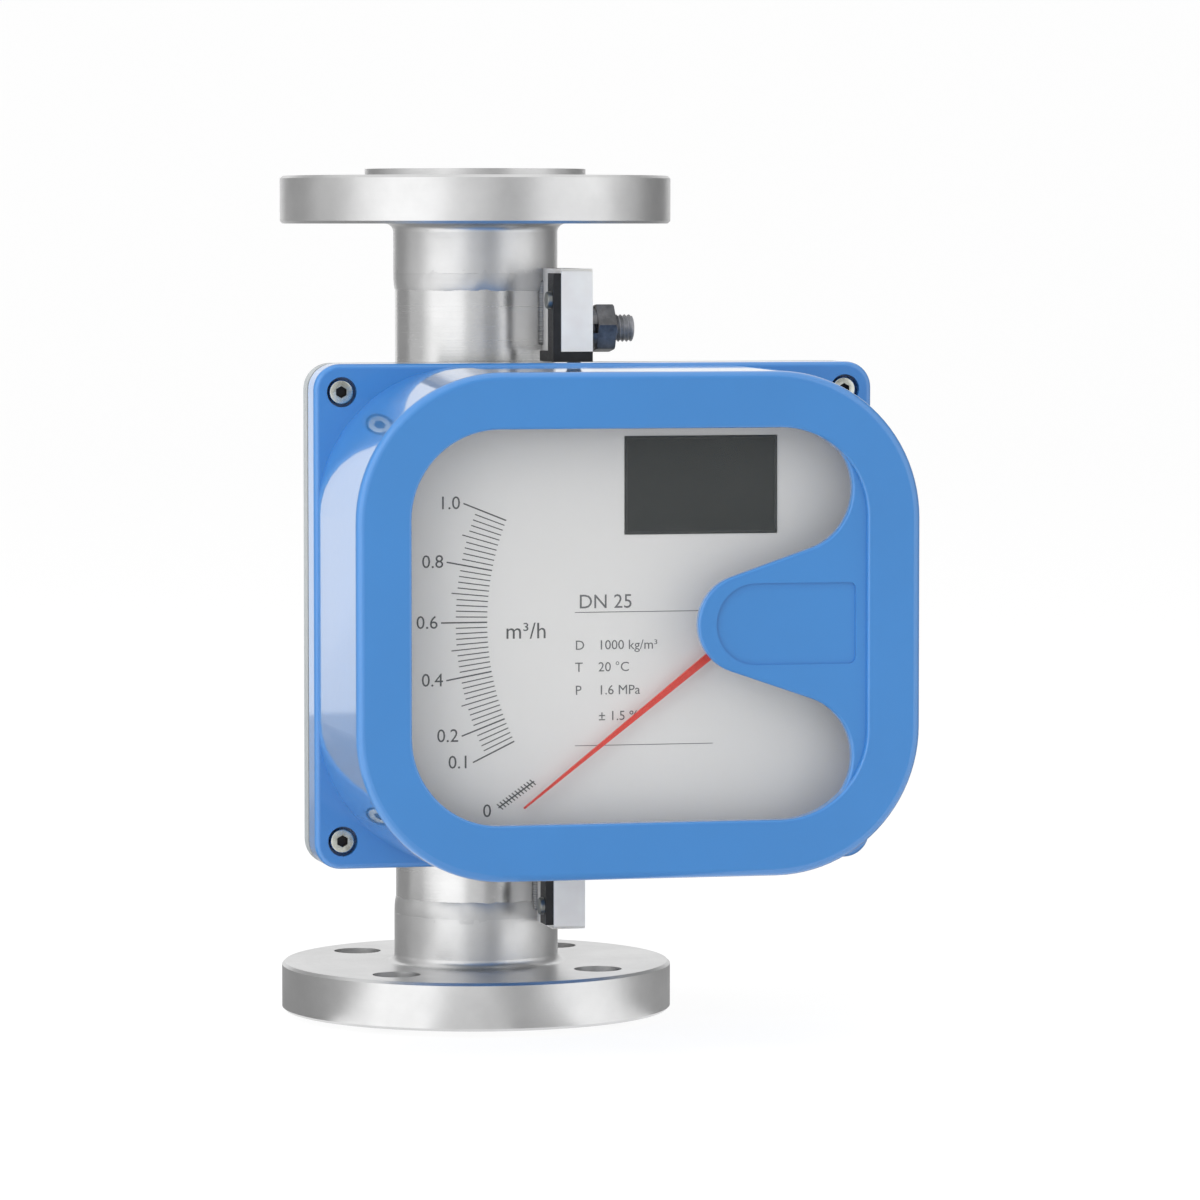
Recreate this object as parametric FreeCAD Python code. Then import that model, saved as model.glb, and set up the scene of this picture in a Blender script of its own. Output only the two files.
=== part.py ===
"""Metal-tube rotameter with a die-cast indicator housing, DN25, 250 mm between its flange faces.

Frame: origin at the centre of the inlet flange's raised face, +Z up along the measuring tube,
the dial faces -Y, +X is to the reader's right.  Millimetres.  Depths are given as Y values, which
grow more negative towards the reader.
"""
import FreeCAD
import Part
import math
import os

V = FreeCAD.Vector

# ---------------------------------------------------------------- process pipe
face_to_face = 250.0      # between the two raised faces
flange_d = 115.0          # DN25 PN16 flange
flange_t = 14.0           # behind the raised face
flange_edge = 0.8         # chamfer on the rim
raised_d = 65.0
raised_t = 2.0
bolt_circle_d = 85.0
bolt_hole_d = 14.0
bolt_count = 4
neck_d = 48.4             # weld neck
neck_len = 15.0
neck_fillet = 2.5
bore_d = 30.0             # inlet and outlet bores
tube_d = 47.4             # measuring tube, outside
cone_top_d = 37.0         # top of the measuring cone
throat_d = 26.8           # bottom of the measuring cone
throat_len = 4.0
upper_bore_d = 39.0       # seat of the upper guide
weld_prep = 0.5           # bevel at the two weld seams

# ---------------------------------------------------------------- float and its guides
float_travel = 50.0
float_len = 42.0
float_edge_d = 26.0       # measuring edge
float_edge_up = 6.0       # height of the measuring edge above the nose
float_body_d = 22.0
float_nose_d = 8.0
float_top_d = 12.0
float_shoulder = 8.0      # length of the upper cone
undercut_len = 2.0
float_cone_w = 4.0        # the upper cone's foot is this much wider per side than its top
rod_d = 6.0
rod_tail = 2.0            # rod end past a guide at the end of the travel
magnet_d = 16.0
magnet_len = 24.0
magnet_play = 0.2         # around the sealed magnet
magnet_up = 4.5           # magnet's middle above the float's middle
cap_t = 3.0
guide_len = 8.0
guide_hub_d = 11.0
guide_rim_t = 2.5
blade_t = 2.0
blade_end = 1.0           # blades stop this far from a guide's ends, and root this deep in its hub
blade_count = 4
rod_fit = 0.08            # radial running clearance of the rod in its guides
stop_gap = 0.3            # between the resting float and the lower guide
upper_stop_gap = 6.0      # left above the lifted float
ring_t = 1.2
ring_depth = 0.8          # groove depth of the retaining rings
ring_width = 2.6
ring_gap_deg = 40.0
ring_play = 0.1           # along the groove

# ---------------------------------------------------------------- indicator housing
housing_x = 24.1          # centre of the housing, to the right of the tube
housing_drop = 3.2        # centre of the housing below the tube's middle
plate_w = 164.5           # cover flange and rear base
plate_h = 144.5
plate_r = 7.5
rear_y = -34.0            # back of the housing
base_depth = 8.0
base_wall = 3.0
base_fillet = 2.0
gasket_t = 1.5
gasket_inset = 0.8
cover_flange_t = 9.5
cover_edge = 1.5          # fillet on the cover flange's front edge
body_step_x = 0.95        # cover flange past the hood, each side
body_step_z = 0.85        # and above and below
body_r = 42.0
body_depth = 57.0
body_draft = 0.4          # per side, over the whole depth
body_edge = 2.2           # fillet on the front frame's outer edge
cover_wall = 3.5
front_t = 4.0

frame_left = 15.9         # front frame between the hood's side and the window
frame_right = 20.0
frame_rise = 16.25        # above and below the window
window_r = 25.0           # left corners
lobe_r = 17.4             # right corners, above and below the tongue
nose_r = 14.0             # end of the tongue
nose_reach = 13.3         # nose's centre to the left of the lobes' centres
window_edge = 0.8         # fillet on the window's front edge
tongue_drop = 1.5         # the tongue lies this far behind the front frame
tongue_root = 4.1         # the tongue's step, to the right of the window
badge_w = 40.5            # bare D-shaped recess in the tongue
badge_h = 23.0
badge_depth = 0.7
badge_edge = 5.2          # recess's round end from the tongue's nose
badge_r = 2.0

screw_d = 4.0             # M4 cover screws
screw_head_d = 7.0
screw_head_t = 4.0
screw_inset = 8.0
screw_well_d = 8.6
screw_well_depth = 4.8
screw_clear = 0.25
screw_bite = 6.0
socket_af = 3.0
socket_depth = 2.0
head_round = 0.4          # fillet on a round head, as a share of its height

glass_t = 4.0
glass_lap = 5.2           # glass past the window opening
glass_r = 29.0
seal_t = 1.0
seal_w = 4.4
clip_w = 8.0
clip_t = 1.0
clip_lap = 2.5
clip_below_corner = 7.9   # clip screws from where the cavity's corners begin
clip_inset = 3.8          # of the clip screws from the cover's inner wall
clip_foot = 2.5           # clip past its screw's axis
clip_boss_d = 6.4
clip_screw_d = 2.5
clip_head_d = 4.6
clip_head_t = 1.4
clip_bite = 4.0

# ---------------------------------------------------------------- dial and display
dial_gap = 7.0            # free space between the glass and the dial
dial_t = 1.5
dial_margin = 2.4
pillar_d = 6.0
pillar_inset = 6.3
pillar_below_corner = 9.4 # pillars from where the cavity's corners begin
pillar_boss_d = 9.0
pillar_boss_t = 1.0
dial_screw_d = 3.0
dial_head_d = 5.5
dial_head_t = 1.8
dial_bite = 6.0
display_right = 40.4      # display's centre from the window's right side
display_down = 16.45      # and from the window's top
display_w = 44.0
display_h = 27.4
display_play = 0.2
module_border = 3.0
module_t = 6.5
board_inset_x = 23.7      # board from the cavity's left wall
board_inset_z = 5.7       # and from its top
board_past_x = 8.5        # board past the display's carrier, at the right
board_past_z = 2.2        # board's lower edge above the carrier's
board_r = 1.5
board_t = 1.6
board_gap = 12.0          # spacer length, dial to board
spacer_af = 5.0
spacer_inset = 4.0
cell_d = 14.5
cell_len = 50.0
cell_inset = 5.0          # battery from the board's left edge
cell_lift = 1.5           # battery above the board
cell_nub_d = 5.8          # positive end
cell_nub_t = 1.2
cell_clip_w = 5.0
cell_clip_t = 0.8
cell_clip_inset = 9.0
cell_clip_foot = 4.8      # half the foot's height
cell_clip_open = 4.4      # the saddle opens this far past the cell's axis

# ---------------------------------------------------------------- movement
pivot_right = 25.4        # pointer's axis from the window's right side
pivot_up = 0.7            # and above the housing's centre
sweep_deg = 59.8          # pointer turn over the float's travel
rest_deg = 38.1           # pointer below the horizontal at rest
shaft_d = 3.0
shaft_fit = 0.05          # radial running clearance of the shaft
shaft_back = 2.5          # shaft end from the base's floor
bearing_d = 8.0
bearing_rim_d = 10.0
bearing_rim_t = 0.8
frame_w = 20.0
frame_h = 42.0
frame_t = 2.0
frame_back = 9.0          # rear plate from the base's floor
frame_board_gap = 2.0     # front plate to the circuit board's back
frame_post_d = 5.0
frame_post_inset = 5.0
frame_screw_d = 2.5
frame_head_d = 4.5
frame_head_t = 1.5
arm_back = 4.0            # follower arm from the base's floor
arm_t = 1.5
arm_w = 4.0
arm_hub_d = 8.0
arm_hub_t = 4.0
arm_hub_back = 0.5        # hub behind the arm
arm_pad_d = 6.0           # under the counterweight
follower_d = 9.0
follower_t = 5.0
follower_rim = 1.5
counter_r = 16.0
counter_d = 12.0
counter_t = 3.0
disc_clear = 2.0          # disc's edge from the frame's top and bottom
disc_t = 1.0
disc_hub_d = 7.8
disc_hub_t = 5.0
disc_at = 16.0            # disc from the frame's rear plate
disc_holes = 4
disc_hole_share = 0.46    # hole's diameter in the ring between the hub and the edge
brake_w = 15.0
brake_h = 15.0
brake_slot = 3.0
brake_lap = 4.0           # magnet over the disc's edge
brake_gap = 2.5           # disc edge to the bottom of the slot
pointer_len = 84.8
pointer_tail = 14.0
pointer_root_w = 2.6
pointer_tip_w = 0.5
pointer_t = 0.8
pointer_lift = 2.5        # pointer above the dial
pointer_hub_d = 8.0
pointer_hub_t = 3.6
pointer_dome = 0.8        # fillet on the hub's front edge
dial_hole_play = 2.0

# ---------------------------------------------------------------- brackets
lug_left = 16.4
lug_w = 9.4
lug_back = -6.0
lower_lug_in = 2.3        # lower bracket nearer the tube's axis
upper_lug_h = 23.9
lower_lug_h = 17.2
lug_corner = 0.8
foot_t = 3.0
foot_depth = 18.0
leg_t = 2.3
leg_depth = 7.3           # narrow leg, flush with the lug's front
leg_short = 1.3           # leg ends this far below the lug's free end
leg_screw_d = 3.0
leg_screw_len = 9.0
leg_head_d = 5.0
leg_head_t = 1.4
leg_screw_share = 0.62    # leg screw's height, as a share of the upper lug's
stud_d = 8.0
stud_back = 8.0           # stud axis behind the lug's front
stud_rise = 6.6           # stud axis above the foot
stud_floor = 1.0          # lug left behind the stud's hole
stud_past = 6.1           # stud past its nut
stud_tip = 0.8
washer_t = 2.0
washer_d = 12.6
washer_play = 0.1         # around the stud
washer_split_deg = 24.0
nut_af = 13.0
nut_t = 5.4
nut_bevel = 0.35          # bevel's height in the nut's corner excess
nut_turn_deg = 22.0       # how far the tightened nut is turned from corner-up
foot_screw_d = 4.0
foot_head_d = 7.6
foot_head_t = 2.1
foot_screw_len = 9.0
foot_screw_out = 4.7      # foot screw axis from the lug's inner face
foot_screw_back = 3.9     # foot screw axis in front of the housing's back
foot_boss_w = 11.0
foot_boss_h = 7.5

# ---------------------------------------------------------------- places that follow from the sizes
eps = 0.01                # for picking edges by their place
past = 1.0                # a cutting shape runs this far past the face that it cuts

# along Y, from the back
base_front = rear_y - base_depth
base_floor = rear_y - base_wall
cover_back = base_front - gasket_t
flange_front = cover_back - cover_flange_t
front_y = flange_front - body_depth
front_inner = front_y + front_t
tongue_front = front_y + tongue_drop
glass_front = front_inner + seal_t
glass_back = glass_front + glass_t
dial_front = glass_back + dial_gap
dial_back = dial_front + dial_t
board_front = dial_back + board_gap
board_back = board_front + board_t
frame_rear = base_floor - frame_back
frame_front = board_back + frame_board_gap
arm_y = base_floor - arm_back
disc_y = frame_rear - disc_at
pointer_y = dial_front - pointer_lift

# the housing's outlines
housing_z = face_to_face / 2 - housing_drop
housing_top = housing_z + plate_h / 2
housing_bottom = housing_z - plate_h / 2
body_w = plate_w - 2 * body_step_x
body_h = plate_h - 2 * body_step_z
cavity_w = body_w - 2 * cover_wall
cavity_h = body_h - 2 * cover_wall
cavity_r = body_r - cover_wall
cavity_straight = cavity_h / 2 - cavity_r     # half the side wall between its two corners
window_left = housing_x - body_w / 2 + frame_left
window_right = housing_x + body_w / 2 - frame_right
window_h = body_h - 2 * frame_rise
lobe_x = window_right - lobe_r
nose_x = lobe_x - nose_reach
badge_left = nose_x - nose_r + badge_edge
tongue_root_x = window_right + tongue_root
lower_lug_left = lug_left - lower_lug_in
foot_screw_y = rear_y - foot_screw_back
stud_y = base_front + stud_back
lug_right = lug_left + lug_w

# display, board and movement
display_x = window_right - display_right
display_z = housing_z + window_h / 2 - display_down
board_left = housing_x - cavity_w / 2 + board_inset_x
board_right = display_x + display_w / 2 + module_border + board_past_x
board_top = housing_z + cavity_h / 2 - board_inset_z
board_bottom = display_z - display_h / 2 - module_border + board_past_z
pivot_x = window_right - pivot_right
pivot_z = housing_z + pivot_up
disc_d = frame_h - 2 * (frame_t + disc_clear)
disc_hole_r = (disc_d + disc_hub_d) / 4
disc_hole_d = disc_hole_share * (disc_d - disc_hub_d) / 2

# float, guides and seams, along Z
arm_len = float_travel / (2 * math.sin(math.radians(sweep_deg / 2)))
magnet_z = pivot_z - float_travel / 2
float_z = magnet_z - float_len / 2 - magnet_up
guide_top = float_z - stop_gap
guide_bottom = guide_top - guide_len
upper_guide_z = float_z + float_len + float_travel + upper_stop_gap
rod_bottom = guide_bottom - float_travel - rod_tail
rod_top = upper_guide_z + guide_len + rod_tail
seam_low = raised_t + flange_t + neck_len
seam_high = face_to_face - seam_low


# ---------------------------------------------------------------- helpers
def block(x0, x1, y0, y1, z0, z1):
    """Box between opposite corners, given in any order."""
    low = V(min(x0, x1), min(y0, y1), min(z0, z1))
    return Part.makeBox(abs(x1 - x0), abs(y1 - y0), abs(z1 - z0), low)


def rod_x(radius, x0, x1, y, z):
    return Part.makeCylinder(radius, x1 - x0, V(x0, y, z), V(1, 0, 0))


def rod_y(radius, y_back, y_front, x, z):
    """Cylinder from its back end towards the reader."""
    return Part.makeCylinder(radius, y_back - y_front, V(x, y_back, z), V(0, -1, 0))


def rod_z(radius, z0, z1, x=0.0, y=0.0):
    return Part.makeCylinder(radius, z1 - z0, V(x, y, z0), V(0, 0, 1))


def turned(profile):
    """Solid of revolution about Z from (radius, height) corners."""
    points = [V(r, 0, z) for r, z in profile]
    face = Part.Face(Part.makePolygon(points + [points[0]]))
    return face.revolve(V(0, 0, 0), V(0, 0, 1), 360)


def mirrored_z(shape, z):
    return shape.mirror(V(0, 0, z), V(0, 0, 1))


def rounded_rect(cx, cz, w, h, r, y):
    """Closed wire parallel to the dial with round corners."""
    x0, x1, z0, z1 = cx - w / 2, cx + w / 2, cz - h / 2, cz + h / 2
    k = r * math.sqrt(0.5)
    corners = [(x1 - r, z0 + r, 1, -1), (x1 - r, z1 - r, 1, 1),
               (x0 + r, z1 - r, -1, 1), (x0 + r, z0 + r, -1, -1)]
    starts = [(0, -r), (r, 0), (0, r), (-r, 0)]
    edges = []
    for (ax, az, sx, sz), (bx, bz) in zip(corners, starts):
        begin = V(ax + bx, y, az + bz)
        middle = V(ax + sx * k, y, az + sz * k)
        end = V(ax - bz, y, az + bx)
        edges.append(Part.Arc(begin, middle, end).toShape())
    closed = []
    for arc, following in zip(edges, edges[1:] + edges[:1]):
        closed.append(arc)
        closed.append(Part.LineSegment(arc.lastVertex().Point, following.firstVertex().Point).toShape())
    return Part.Wire(closed)


def slab(wire, depth):
    """Prism from a wire, grown towards the reader."""
    return Part.Face(wire).extrude(V(0, -depth, 0))


def frustum(back, front):
    """Drafted solid between two wires."""
    return Part.makeLoft([back, front], True, True)


def hexagon(af, centre, along, length):
    """Hexagonal prism from its across-flats size; `along` is a unit axis."""
    r = af / math.sqrt(3)
    corners = [V(r * math.cos(i * math.pi / 3), r * math.sin(i * math.pi / 3), 0) for i in range(7)]
    solid = Part.Face(Part.makePolygon(corners)).extrude(V(0, 0, length))
    solid.Placement = FreeCAD.Placement(centre, FreeCAD.Rotation(V(0, 0, 1), along))
    return solid


def edges_where(shape, test):
    """Edges whose every vertex passes the test."""
    return [e for e in shape.Edges if all(test(v.Point) for v in e.Vertexes) and test(e.CenterOfMass)]


def around(shape, count, start_deg=0.0):
    """Copies turned about the tube's axis."""
    copies = []
    for i in range(count):
        copy = shape.copy()
        copy.rotate(V(0, 0, 0), V(0, 0, 1), start_deg + i * 360.0 / count)
        copies.append(copy)
    return copies


def four_corners(dx, dz):
    """Places mirrored about the housing's centre."""
    return [(housing_x + sx * dx, housing_z + sz * dz) for sx in (-1, 1) for sz in (-1, 1)]


# ---------------------------------------------------------------- process pipe
def flange():
    """Weld-neck flange at the inlet: raised face down, neck up."""
    r, c, top = flange_d / 2, flange_edge, raised_t + flange_t
    body = turned([
        (bore_d / 2, 0), (raised_d / 2, 0), (raised_d / 2, raised_t), (r - c, raised_t), (r, raised_t + c),
        (r, top - c), (r - c, top), (neck_d / 2, top), (neck_d / 2, seam_low - weld_prep),
        (neck_d / 2 - weld_prep, seam_low), (bore_d / 2, seam_low),
    ])
    root = [e for e in body.Edges if abs(e.CenterOfMass.z - top) < eps
            and abs(e.BoundBox.XLength - neck_d) < eps]
    body = body.makeFillet(neck_fillet, root)
    hole = rod_z(bolt_hole_d / 2, 0, top + past, bolt_circle_d / 2)
    return body.cut(Part.makeCompound(around(hole, bolt_count, 180.0 / bolt_count)))


def measuring_tube():
    """Tube with a seat for each guide and the conical measuring bore between them."""
    outer, low_r, top_r = tube_d / 2, bore_d / 2, upper_bore_d / 2
    seat = upper_guide_z
    body = turned([
        (low_r, seam_low), (outer - weld_prep, seam_low), (outer, seam_low + weld_prep),
        (outer, seam_high - weld_prep), (outer - weld_prep, seam_high), (top_r, seam_high),
        (top_r, seat), (cone_top_d / 2, seat), (throat_d / 2, guide_top + throat_len),
        (throat_d / 2, guide_top), (low_r, guide_top),
    ])
    grooves = [(low_r, guide_bottom - ring_t), (top_r, seat + guide_len)]
    for radius, z in grooves:
        groove = rod_z(radius + ring_depth, z, z + ring_t).cut(rod_z(radius - past, z, z + ring_t))
        body = body.cut(groove)
    return body


def guide(seat_r, z):
    """Spider: a hub for the float's rod, a rim in the bore and blades between."""
    rim = rod_z(seat_r, z, z + guide_len).cut(rod_z(seat_r - guide_rim_t, z, z + guide_len))
    hub = rod_z(guide_hub_d / 2, z, z + guide_len)
    blade = block(guide_hub_d / 2 - blade_end, seat_r - guide_rim_t / 2, -blade_t / 2, blade_t / 2,
                  z + blade_end, z + guide_len - blade_end)
    spider = rim.fuse([hub] + around(blade, blade_count, 45.0))
    return spider.cut(rod_z(rod_d / 2 + rod_fit, z, z + guide_len)).removeSplitter()


def retaining_ring(seat_r, z):
    """Split ring sprung into its groove, with the gap at the back."""
    z0, z1 = z + ring_play, z + ring_t - ring_play
    outer = seat_r + ring_depth
    ring = rod_z(outer, z0, z1).cut(rod_z(outer - ring_width, z0, z1))
    reach = 2 * outer
    half = math.radians(ring_gap_deg / 2)
    wedge = Part.makePolygon([V(0, 0, z0), V(reach * math.sin(-half), reach * math.cos(half), z0),
                              V(reach * math.sin(half), reach * math.cos(half), z0), V(0, 0, z0)])
    return ring.cut(Part.Face(wedge).extrude(V(0, 0, z1 - z0)))


def float_body():
    """Hollow float with a sharp measuring edge; its magnet chamber opens upwards."""
    z, top = float_z, float_z + float_len
    edge = z + float_edge_up
    body = turned([
        (0, z), (float_nose_d / 2, z), (float_edge_d / 2, edge), (float_edge_d / 2, edge + undercut_len / 2),
        (float_body_d / 2, edge + undercut_len), (float_body_d / 2, top - float_shoulder),
        (float_top_d / 2 + float_cone_w, top - cap_t), (0, top - cap_t),
    ])
    chamber = rod_z(magnet_d / 2 + magnet_play, magnet_z - magnet_len / 2, top)
    return body.cut(chamber).cut(rod_z(rod_d / 2, z - past, top))


def float_cap():
    """Turned cap that closes the magnet chamber, with a spigot down to the magnet."""
    top = float_z + float_len
    spigot = magnet_z + magnet_len / 2 + magnet_play
    cap = turned([
        (rod_d / 2, spigot), (magnet_d / 2 + magnet_play, spigot), (magnet_d / 2 + magnet_play, top - cap_t),
        (float_top_d / 2 + float_cone_w, top - cap_t), (float_top_d / 2, top), (rod_d / 2, top),
    ])
    return cap


def float_magnet():
    low = magnet_z - magnet_len / 2
    ring = rod_z(magnet_d / 2, low, low + magnet_len)
    return ring.cut(rod_z(rod_d / 2 + magnet_play, low, low + magnet_len))


def float_rod():
    """Guide rod through the whole float, with chamfered ends."""
    r, c = rod_d / 2, rod_d / 6
    return turned([(0, rod_bottom), (r - c, rod_bottom), (r, rod_bottom + c), (r, rod_top - c),
                   (r - c, rod_top), (0, rod_top)])


# ---------------------------------------------------------------- indicator housing
def cavity(y_back, y_front):
    """Straight pocket with the hood's inner outline."""
    wire = rounded_rect(housing_x, housing_z, cavity_w, cavity_h, cavity_r, y_back)
    return slab(wire, y_back - y_front)


def cover_screw_places():
    return four_corners(plate_w / 2 - screw_inset, plate_h / 2 - screw_inset)


def pillar_places():
    return four_corners(cavity_w / 2 - pillar_inset, cavity_straight - pillar_below_corner)


def frame_post_places():
    rise = frame_h / 2 - frame_post_inset
    return [(pivot_x, pivot_z - rise), (pivot_x, pivot_z + rise)]


def foot_boss(x_lug, z_wall, away):
    """Solid pad behind the wall that carries a bracket's foot screw."""
    x = x_lug + foot_screw_out
    half = foot_boss_w / 2
    far = z_wall - away * (cover_wall + body_step_z + foot_boss_h)
    return block(x - half, x + half, rear_y - base_wall / 2, base_front, z_wall - away * cover_wall, far)


def housing_base():
    """Shallow rear casting: solid corners, open tray, pads and bosses."""
    outer = slab(rounded_rect(housing_x, housing_z, plate_w, plate_h, plate_r, rear_y), base_depth)
    rear_edges = edges_where(outer, lambda p: abs(p.y - rear_y) < eps)
    outer = outer.makeFillet(base_fillet, rear_edges)
    body = outer.cut(cavity(base_floor, base_front))
    pads = [rod_y(pillar_boss_d / 2, base_floor + base_wall / 2, base_floor - pillar_boss_t, x, z)
            for x, z in pillar_places()]
    pads += [foot_boss(x_lug, z_wall, away) for x_lug, z_wall, away, height in feet()]
    body = body.fuse(pads).removeSplitter()
    holes = [rod_y(screw_d / 2, base_front + screw_bite, base_front - past, x, z)
             for x, z in cover_screw_places()]
    bite = foot_screw_len - foot_t
    foot_holes = [rod_z(foot_screw_d / 2, *sorted((z_wall + away * past, z_wall - away * bite)),
                        x_lug + foot_screw_out, foot_screw_y)
                  for x_lug, z_wall, away, height in feet()]
    return body.cut(Part.makeCompound(holes + foot_holes))


def housing_gasket():
    """Flat seal between base and cover, following the hood inside and the flange outside."""
    outer = slab(rounded_rect(housing_x, housing_z, plate_w - 2 * gasket_inset, plate_h - 2 * gasket_inset,
                              plate_r - gasket_inset, base_front), gasket_t)
    ring = outer.cut(cavity(base_front, cover_back))
    holes = [rod_y(screw_d / 2 + screw_clear, base_front, cover_back, x, z) for x, z in cover_screw_places()]
    return ring.cut(Part.makeCompound(holes))


def inner_tangent():
    """Direction in which the straight run touches the upper lobe, on its way to the tongue's nose."""
    dx = nose_x - lobe_x
    dz = -(window_h / 2 - lobe_r)
    turn = math.acos((lobe_r + nose_r) / math.hypot(dx, dz))
    return math.atan2(dz, dx) + turn


def window_wire(y):
    """Window outline: a round-cornered rectangle with a tongue that comes in from the right."""
    angle = inner_tangent()
    lobe_z = window_h / 2 - lobe_r
    top, left = window_h / 2, window_left

    def at(cx, cz, radius, deg):
        return (cx + radius * math.cos(deg), cz + radius * math.sin(deg))

    upper = [
        ((left + window_r, top), None, (lobe_x, top)),
        ((lobe_x, top), at(lobe_x, lobe_z, lobe_r, 0.0), at(lobe_x, lobe_z, lobe_r, angle)),
        (at(lobe_x, lobe_z, lobe_r, angle), None, at(nose_x, 0.0, nose_r, angle + math.pi)),
    ]
    corner = at(left + window_r, top - window_r, window_r, 0.75 * math.pi)
    nose_top = at(nose_x, 0.0, nose_r, angle + math.pi)
    edges = []

    def add(start, middle, end, side):
        p, q = V(start[0], y, housing_z + side * start[1]), V(end[0], y, housing_z + side * end[1])
        if middle is None:
            edges.append(Part.LineSegment(p, q).toShape())
        else:
            m = V(middle[0], y, housing_z + side * middle[1])
            edges.append(Part.Arc(p, m, q).toShape())

    for start, middle, end in upper:
        add(start, middle, end, 1)
    nose = Part.Arc(V(nose_top[0], y, housing_z + nose_top[1]), V(nose_x - nose_r, y, housing_z),
                    V(nose_top[0], y, housing_z - nose_top[1]))
    edges.append(nose.toShape())
    for start, middle, end in reversed(upper):
        add(end, middle, start, -1)
    add((left + window_r, top), corner, (left, top - window_r), -1)
    edges.append(Part.LineSegment(V(left, y, housing_z - top + window_r),
                                  V(left, y, housing_z + top - window_r)).toShape())
    add((left, top - window_r), corner, (left + window_r, top), 1)
    return Part.Wire(Part.__sortEdges__(edges))


def opening(y_back, y_front):
    """Prism through the front frame; the tongue fills its right side at a lower level."""
    w = tongue_root_x - window_left
    wire = rounded_rect(window_left + w / 2, housing_z, w, window_h, window_r, y_back)
    return slab(wire, y_back - y_front)


def tongue():
    """Plate behind the frame's level that leaves the window free, with a rounded edge along it."""
    plate = block(window_left - cover_wall, tongue_root_x + cover_wall, front_inner, tongue_front,
                  housing_z - body_h / 2, housing_z + body_h / 2)
    plate = plate.cut(slab(window_wire(front_inner + past), front_t + 2 * past))
    rim = edges_where(plate, lambda p: abs(p.y - tongue_front) < eps and p.x > window_left - eps
                      and abs(p.z - housing_z) < window_h / 2 + eps)
    plate = plate.makeFillet(window_edge, [e for e in rim if e.CenterOfMass.x < window_right])
    right_of_nose = block(nose_x - nose_r - past, tongue_root_x + past, front_inner + past, front_y - past,
                          housing_z - body_h, housing_z + body_h)
    return plate.common(opening(front_inner, tongue_front).common(right_of_nose))


def badge_recess():
    """Bare D-shaped recess in the tongue, round towards the nose."""
    level = tongue_front + badge_depth
    r = badge_h / 2
    round_end = rod_y(r, level, front_y - past, badge_left + r, housing_z)
    straight_w = badge_w - r + 2 * badge_r
    straight = rounded_rect(badge_left + badge_w - straight_w / 2, housing_z, straight_w, badge_h,
                            badge_r, level)
    left_half = block(badge_left, badge_left + r, level, front_y - past, housing_z - r, housing_z + r)
    return round_end.fuse(slab(straight, level - front_y + past).cut(left_half)).removeSplitter()


def clip_places():
    return four_corners(cavity_w / 2 - clip_inset, cavity_straight - clip_below_corner)


def housing_cover():
    """Die-cast cover: mounting flange, drafted hood, front frame with window, tongue and bosses."""
    outline = rounded_rect(housing_x, housing_z, plate_w, plate_h, plate_r, cover_back)
    flange_plate = slab(outline, cover_flange_t)
    rim = edges_where(flange_plate, lambda p: abs(p.y - flange_front) < eps)
    flange_plate = flange_plate.makeFillet(cover_edge, rim)
    hood = frustum(
        rounded_rect(housing_x, housing_z, body_w, body_h, body_r, flange_front + cover_flange_t / 2),
        rounded_rect(housing_x, housing_z, body_w - 2 * body_draft, body_h - 2 * body_draft,
                     body_r - body_draft, front_y))
    hood = hood.makeFillet(body_edge, edges_where(hood, lambda p: abs(p.y - front_y) < eps))
    inside = frustum(
        rounded_rect(housing_x, housing_z, cavity_w, cavity_h, cavity_r, cover_back),
        rounded_rect(housing_x, housing_z, cavity_w - 2 * body_draft, cavity_h - 2 * body_draft,
                     cavity_r - body_draft, front_inner))
    shell = flange_plate.fuse(hood).removeSplitter().cut(inside)
    bosses = [rod_y(clip_boss_d / 2, glass_back, front_inner - front_t / 2, x, z) for x, z in clip_places()]
    shell = shell.fuse(bosses).removeSplitter()
    shell = shell.cut(opening(front_inner + past, front_y - past))
    half = window_h / 2 + eps
    rim = edges_where(shell, lambda p: abs(p.y - front_y) < eps and abs(p.z - housing_z) < half
                      and window_left - eps < p.x < tongue_root_x + eps)
    shell = shell.makeFillet(window_edge, rim)
    shell = shell.fuse(tongue()).removeSplitter()
    return shell.cut(badge_recess()).cut(Part.makeCompound(cover_holes()))


def cover_holes():
    """Counterbored corner holes and the blind holes of the glass clips."""
    holes = []
    for x, z in cover_screw_places():
        holes.append(rod_y(screw_d / 2 + screw_clear, cover_back + past, flange_front - past, x, z))
        holes.append(rod_y(screw_well_d / 2, flange_front + screw_well_depth, flange_front - past, x, z))
    for x, z in clip_places():
        holes.append(rod_y(clip_screw_d / 2, glass_back + past, glass_back - clip_bite, x, z))
    return holes


def cover_screws():
    """Four socket screws, sunk in the cover's corners."""
    seat = flange_front + screw_well_depth
    screws = []
    for x, z in cover_screw_places():
        head = rod_y(screw_head_d / 2, seat, seat - screw_head_t, x, z)
        floor = seat - screw_head_t + socket_depth
        socket = hexagon(socket_af, V(x, floor, z), V(0, -1, 0), socket_depth + past)
        stem = rod_y(screw_d / 2, base_front + screw_bite, seat, x, z)
        screws.append(head.fuse(stem).cut(socket))
    return Part.makeCompound(screws)


def glass_outline(grow, r, y):
    left, right = window_left - grow, window_right + grow
    return rounded_rect((left + right) / 2, housing_z, right - left, window_h + 2 * grow, r, y)


def window_glass():
    return slab(glass_outline(glass_lap, glass_r, glass_back), glass_t)


def window_gasket():
    """Frame-shaped seal between the glass and the front frame."""
    outer = slab(glass_outline(glass_lap, glass_r, glass_front), seal_t)
    hole = slab(glass_outline(glass_lap - seal_w, glass_r - seal_w, glass_front), seal_t)
    return outer.cut(hole)


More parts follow.
